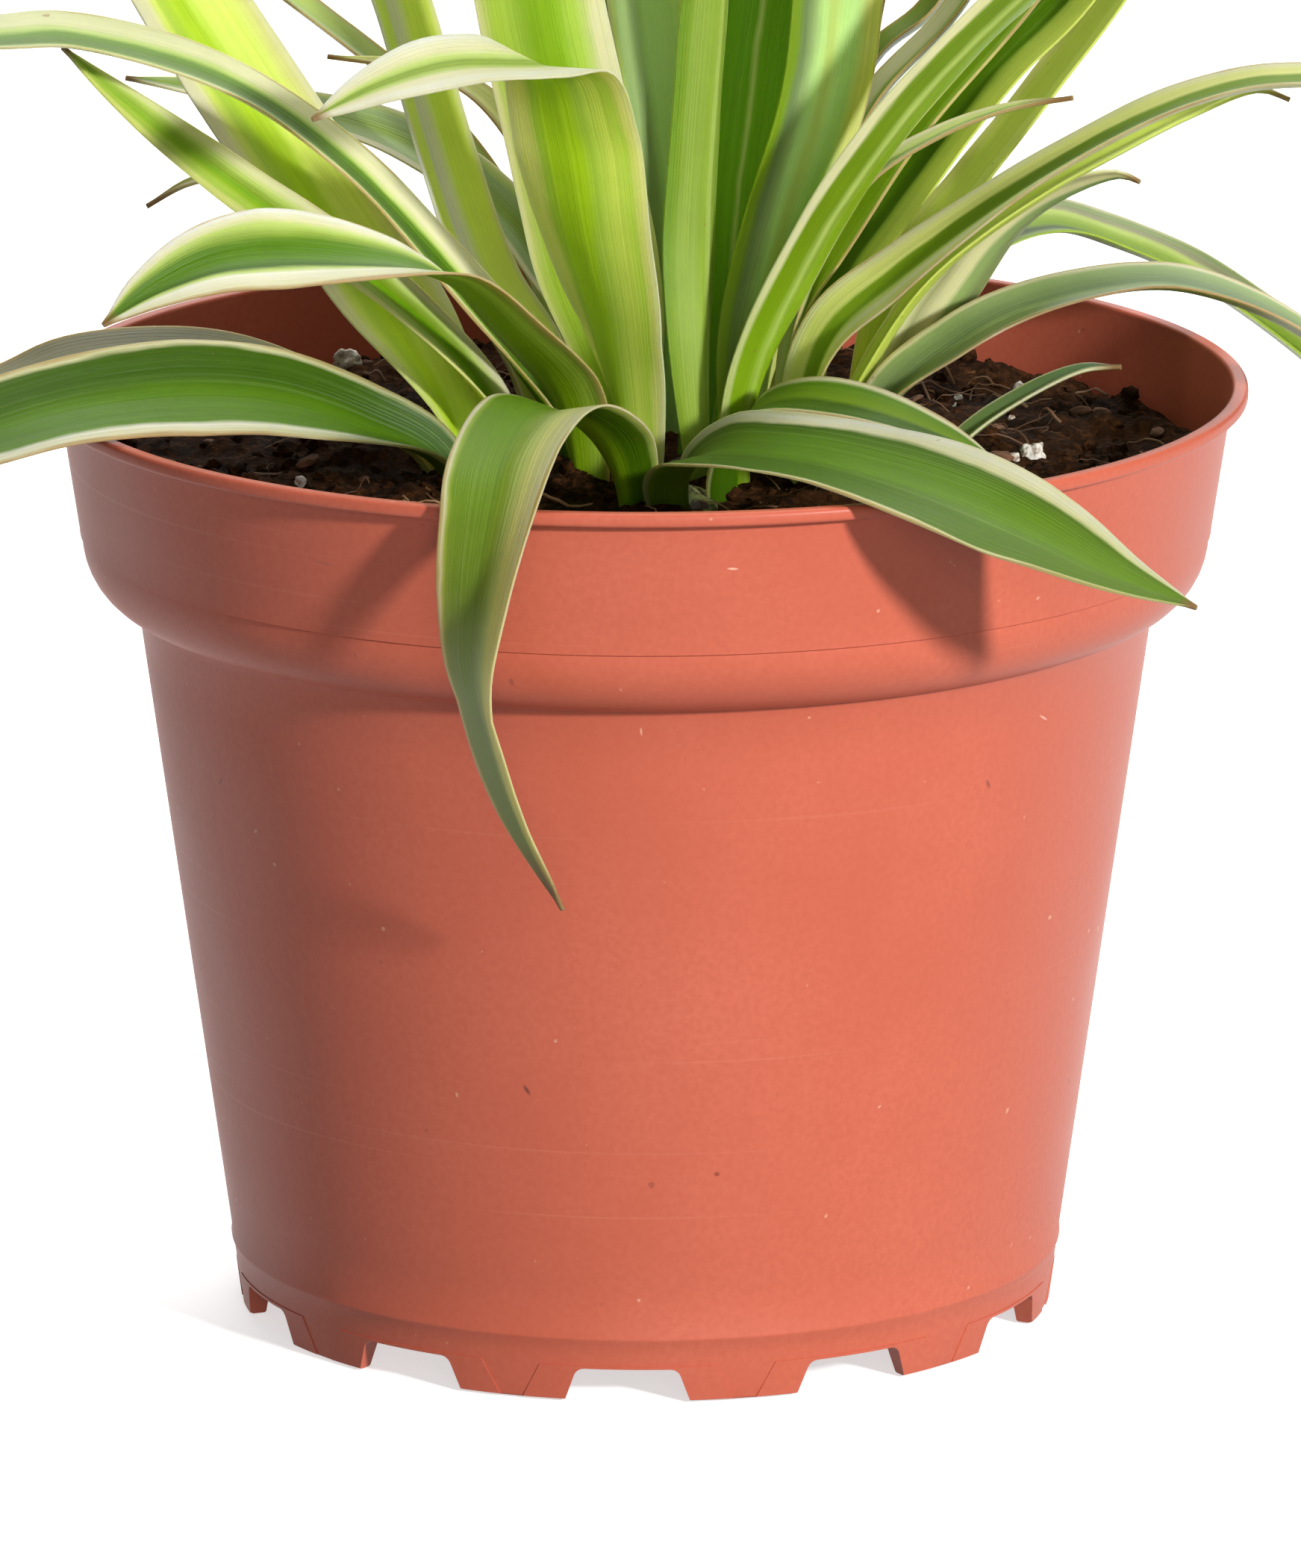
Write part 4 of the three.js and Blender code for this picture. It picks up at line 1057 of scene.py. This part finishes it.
grow_leaf(
    "blade_right_13", 6, 0.5, 18, (-8, -8, 0),
    [(11, 8.5, 80), (15.5, 14, 108.5), (23, 17, 123.5), (29, 19, 128.5), (38, 23, 152),
     (53, 28, 173), (72, 34, 186), (90, 40, 184)],
    "0 tan .1 olive .9 light 1 tan")

# Leaves: back
# Eight leaves arch away behind the crown. The photograph shows parts of four, and the others
# complete the rosette for the other sides.
grow_leaf(
    "blade_back_1", 10, 0.5, 16, (-5, -6, -10, -14),
    [(-2.5, 8.5, 80), (-4.5, 16, 93.5), (-10, 19.5, 101), (-14, 21, 106), (-24.5, 25, 113),
     (-42.5, 27, 117.5), (-52.5, 28, 119)],
    "0 cream .06 pale .14 sage .4 light .6 sage .8 sage .88 cream 1 cream",
    root=(0.4, "sage"))
grow_leaf(
    "blade_back_2", 6, 0.5, 18, (0, 0, 0),
    [(-6.5, 13.5, 80), (-12.5, 29, 101.5), (-20, 34, 112.5), (-35, 36, 125), (-50, 37, 135),
     (-67, 40, 139), (-84, 42, 134)],
    "0 tan .12 pale .3 pale .8 sage 1 tan")
grow_leaf(
    "blade_back_3", 5, 0.4, 20, (0, 0, -20),
    [(-8, 8.5, 80), (-8.5, 11, 100), (-11, 15, 112), (-16, 19, 118.5), (-22, 22, 121),
     (-32, 24, 122)],
    "0 tan .15 straw .5 straw .8 straw 1 tan")
grow_leaf(
    "blade_back_4", 5, 0.4, 20, (0, -3, -9, -25),
    [(-10, 4, 80), (-13.5, 7, 94.5), (-23.5, 10, 105.5), (-34.5, 12, 111), (-42, 13, 112),
     (-46, 14, 111), (-50, 15, 108.5)],
    "0 tan .1 mauve .25 pale .45 straw .8 cream 1 cream",
    tip=6)
grow_leaf(
    "blade_back_5", 10, 0.5, 16, (0, 0, 0),
    [(1.5, 15.5, 80), (2, 25, 100), (-4, 34, 130), (-18, 45, 162), (-40, 62, 186),
     (-60, 84, 188), (-74, 98, 168)],
    plain_bands)
grow_leaf(
    "blade_back_6", 10, 0.5, 16, (0, 0, 0),
    [(2, 9, 80), (4, 16, 104), (5, 30, 128), (4, 50, 142), (0, 72, 138), (-3, 90, 116),
     (-5, 101, 86), (-6, 106, 54)],
    plain_bands)
grow_leaf(
    "blade_back_7", 10, 0.5, 16, (0, 0, 0),
    [(13, 13, 80), (17, 19, 104), (22, 28, 134), (34, 46, 160), (50, 68, 174), (66, 88, 166),
     (78, 102, 146)],
    plain_bands)
grow_leaf(
    "blade_back_8", 10, 0.5, 16, (0, 0, 0),
    [(8, 14, 80), (11, 25, 104), (14, 40, 126), (16, 58, 136), (18, 78, 130), (19, 94, 108),
     (19, 102, 78), (18, 105.9, 44)],
    plain_bands)

# Floor and light
# A wide pale floor, so that the whole background is plain, a soft key light from low on the right,
# broad fills from the front and above, a glow from behind through the leaves, and a dim white sky.
bpy.ops.mesh.primitive_plane_add(size=14, location=(0, 3, -0.0002))
floor = bpy.context.object
floor.name = "floor"
material, links, shader, place = new_finish("pale_floor")
paper = grain(place, 60, 3)
colour = laid(tone(236, 236, 236), tone(240, 240, 240), paper, (0.3, 0.7))
links.new(colour, shader.inputs["Base Color"])
shader.inputs["Roughness"].default_value = 0.9
shader.inputs["Specular IOR Level"].default_value = 0.1
shader.inputs["Emission Color"].default_value = (1, 1, 1, 1)
shader.inputs["Emission Strength"].default_value = 0.6
floor.data.materials.append(material)
floor.visible_diffuse = False

light_aim = Vector((0, 0, 0.09))


def soft_light(name, azimuth, elevation, distance, size, energy):
    """A round soft light that looks at the plant, from an angle right of the camera and a height."""
    turn, lift = math.radians(azimuth), math.radians(elevation)
    back = Vector((math.sin(turn) * math.cos(lift), -math.cos(turn) * math.cos(lift), math.sin(lift)))
    bpy.ops.object.light_add(type="AREA")
    light = bpy.context.object
    light.name = name
    light.data.shape = "DISK"
    light.data.size = size
    light.data.energy = energy
    light.location = light_aim + distance * back
    light.rotation_euler = (-back).to_track_quat("-Z", "Y").to_euler()


soft_light("key_light", azimuth=38, elevation=20, distance=1.6, size=0.14, energy=26.5)
soft_light("front_fill", azimuth=5, elevation=12, distance=2.0, size=1.0, energy=9)
soft_light("top_fill", azimuth=170, elevation=70, distance=1.6, size=1.2, energy=19)
soft_light("back_glow", azimuth=175, elevation=32, distance=2.2, size=2.0, energy=22)

world = bpy.data.worlds.new("soft_sky")
bpy.context.scene.world = world
world.use_nodes = True
sky = world.node_tree.nodes["Background"]
sky.inputs["Color"].default_value = (1, 1, 1, 1)
sky.inputs["Strength"].default_value = 0.1
bpy.context.scene.view_settings.view_transform = "Standard"
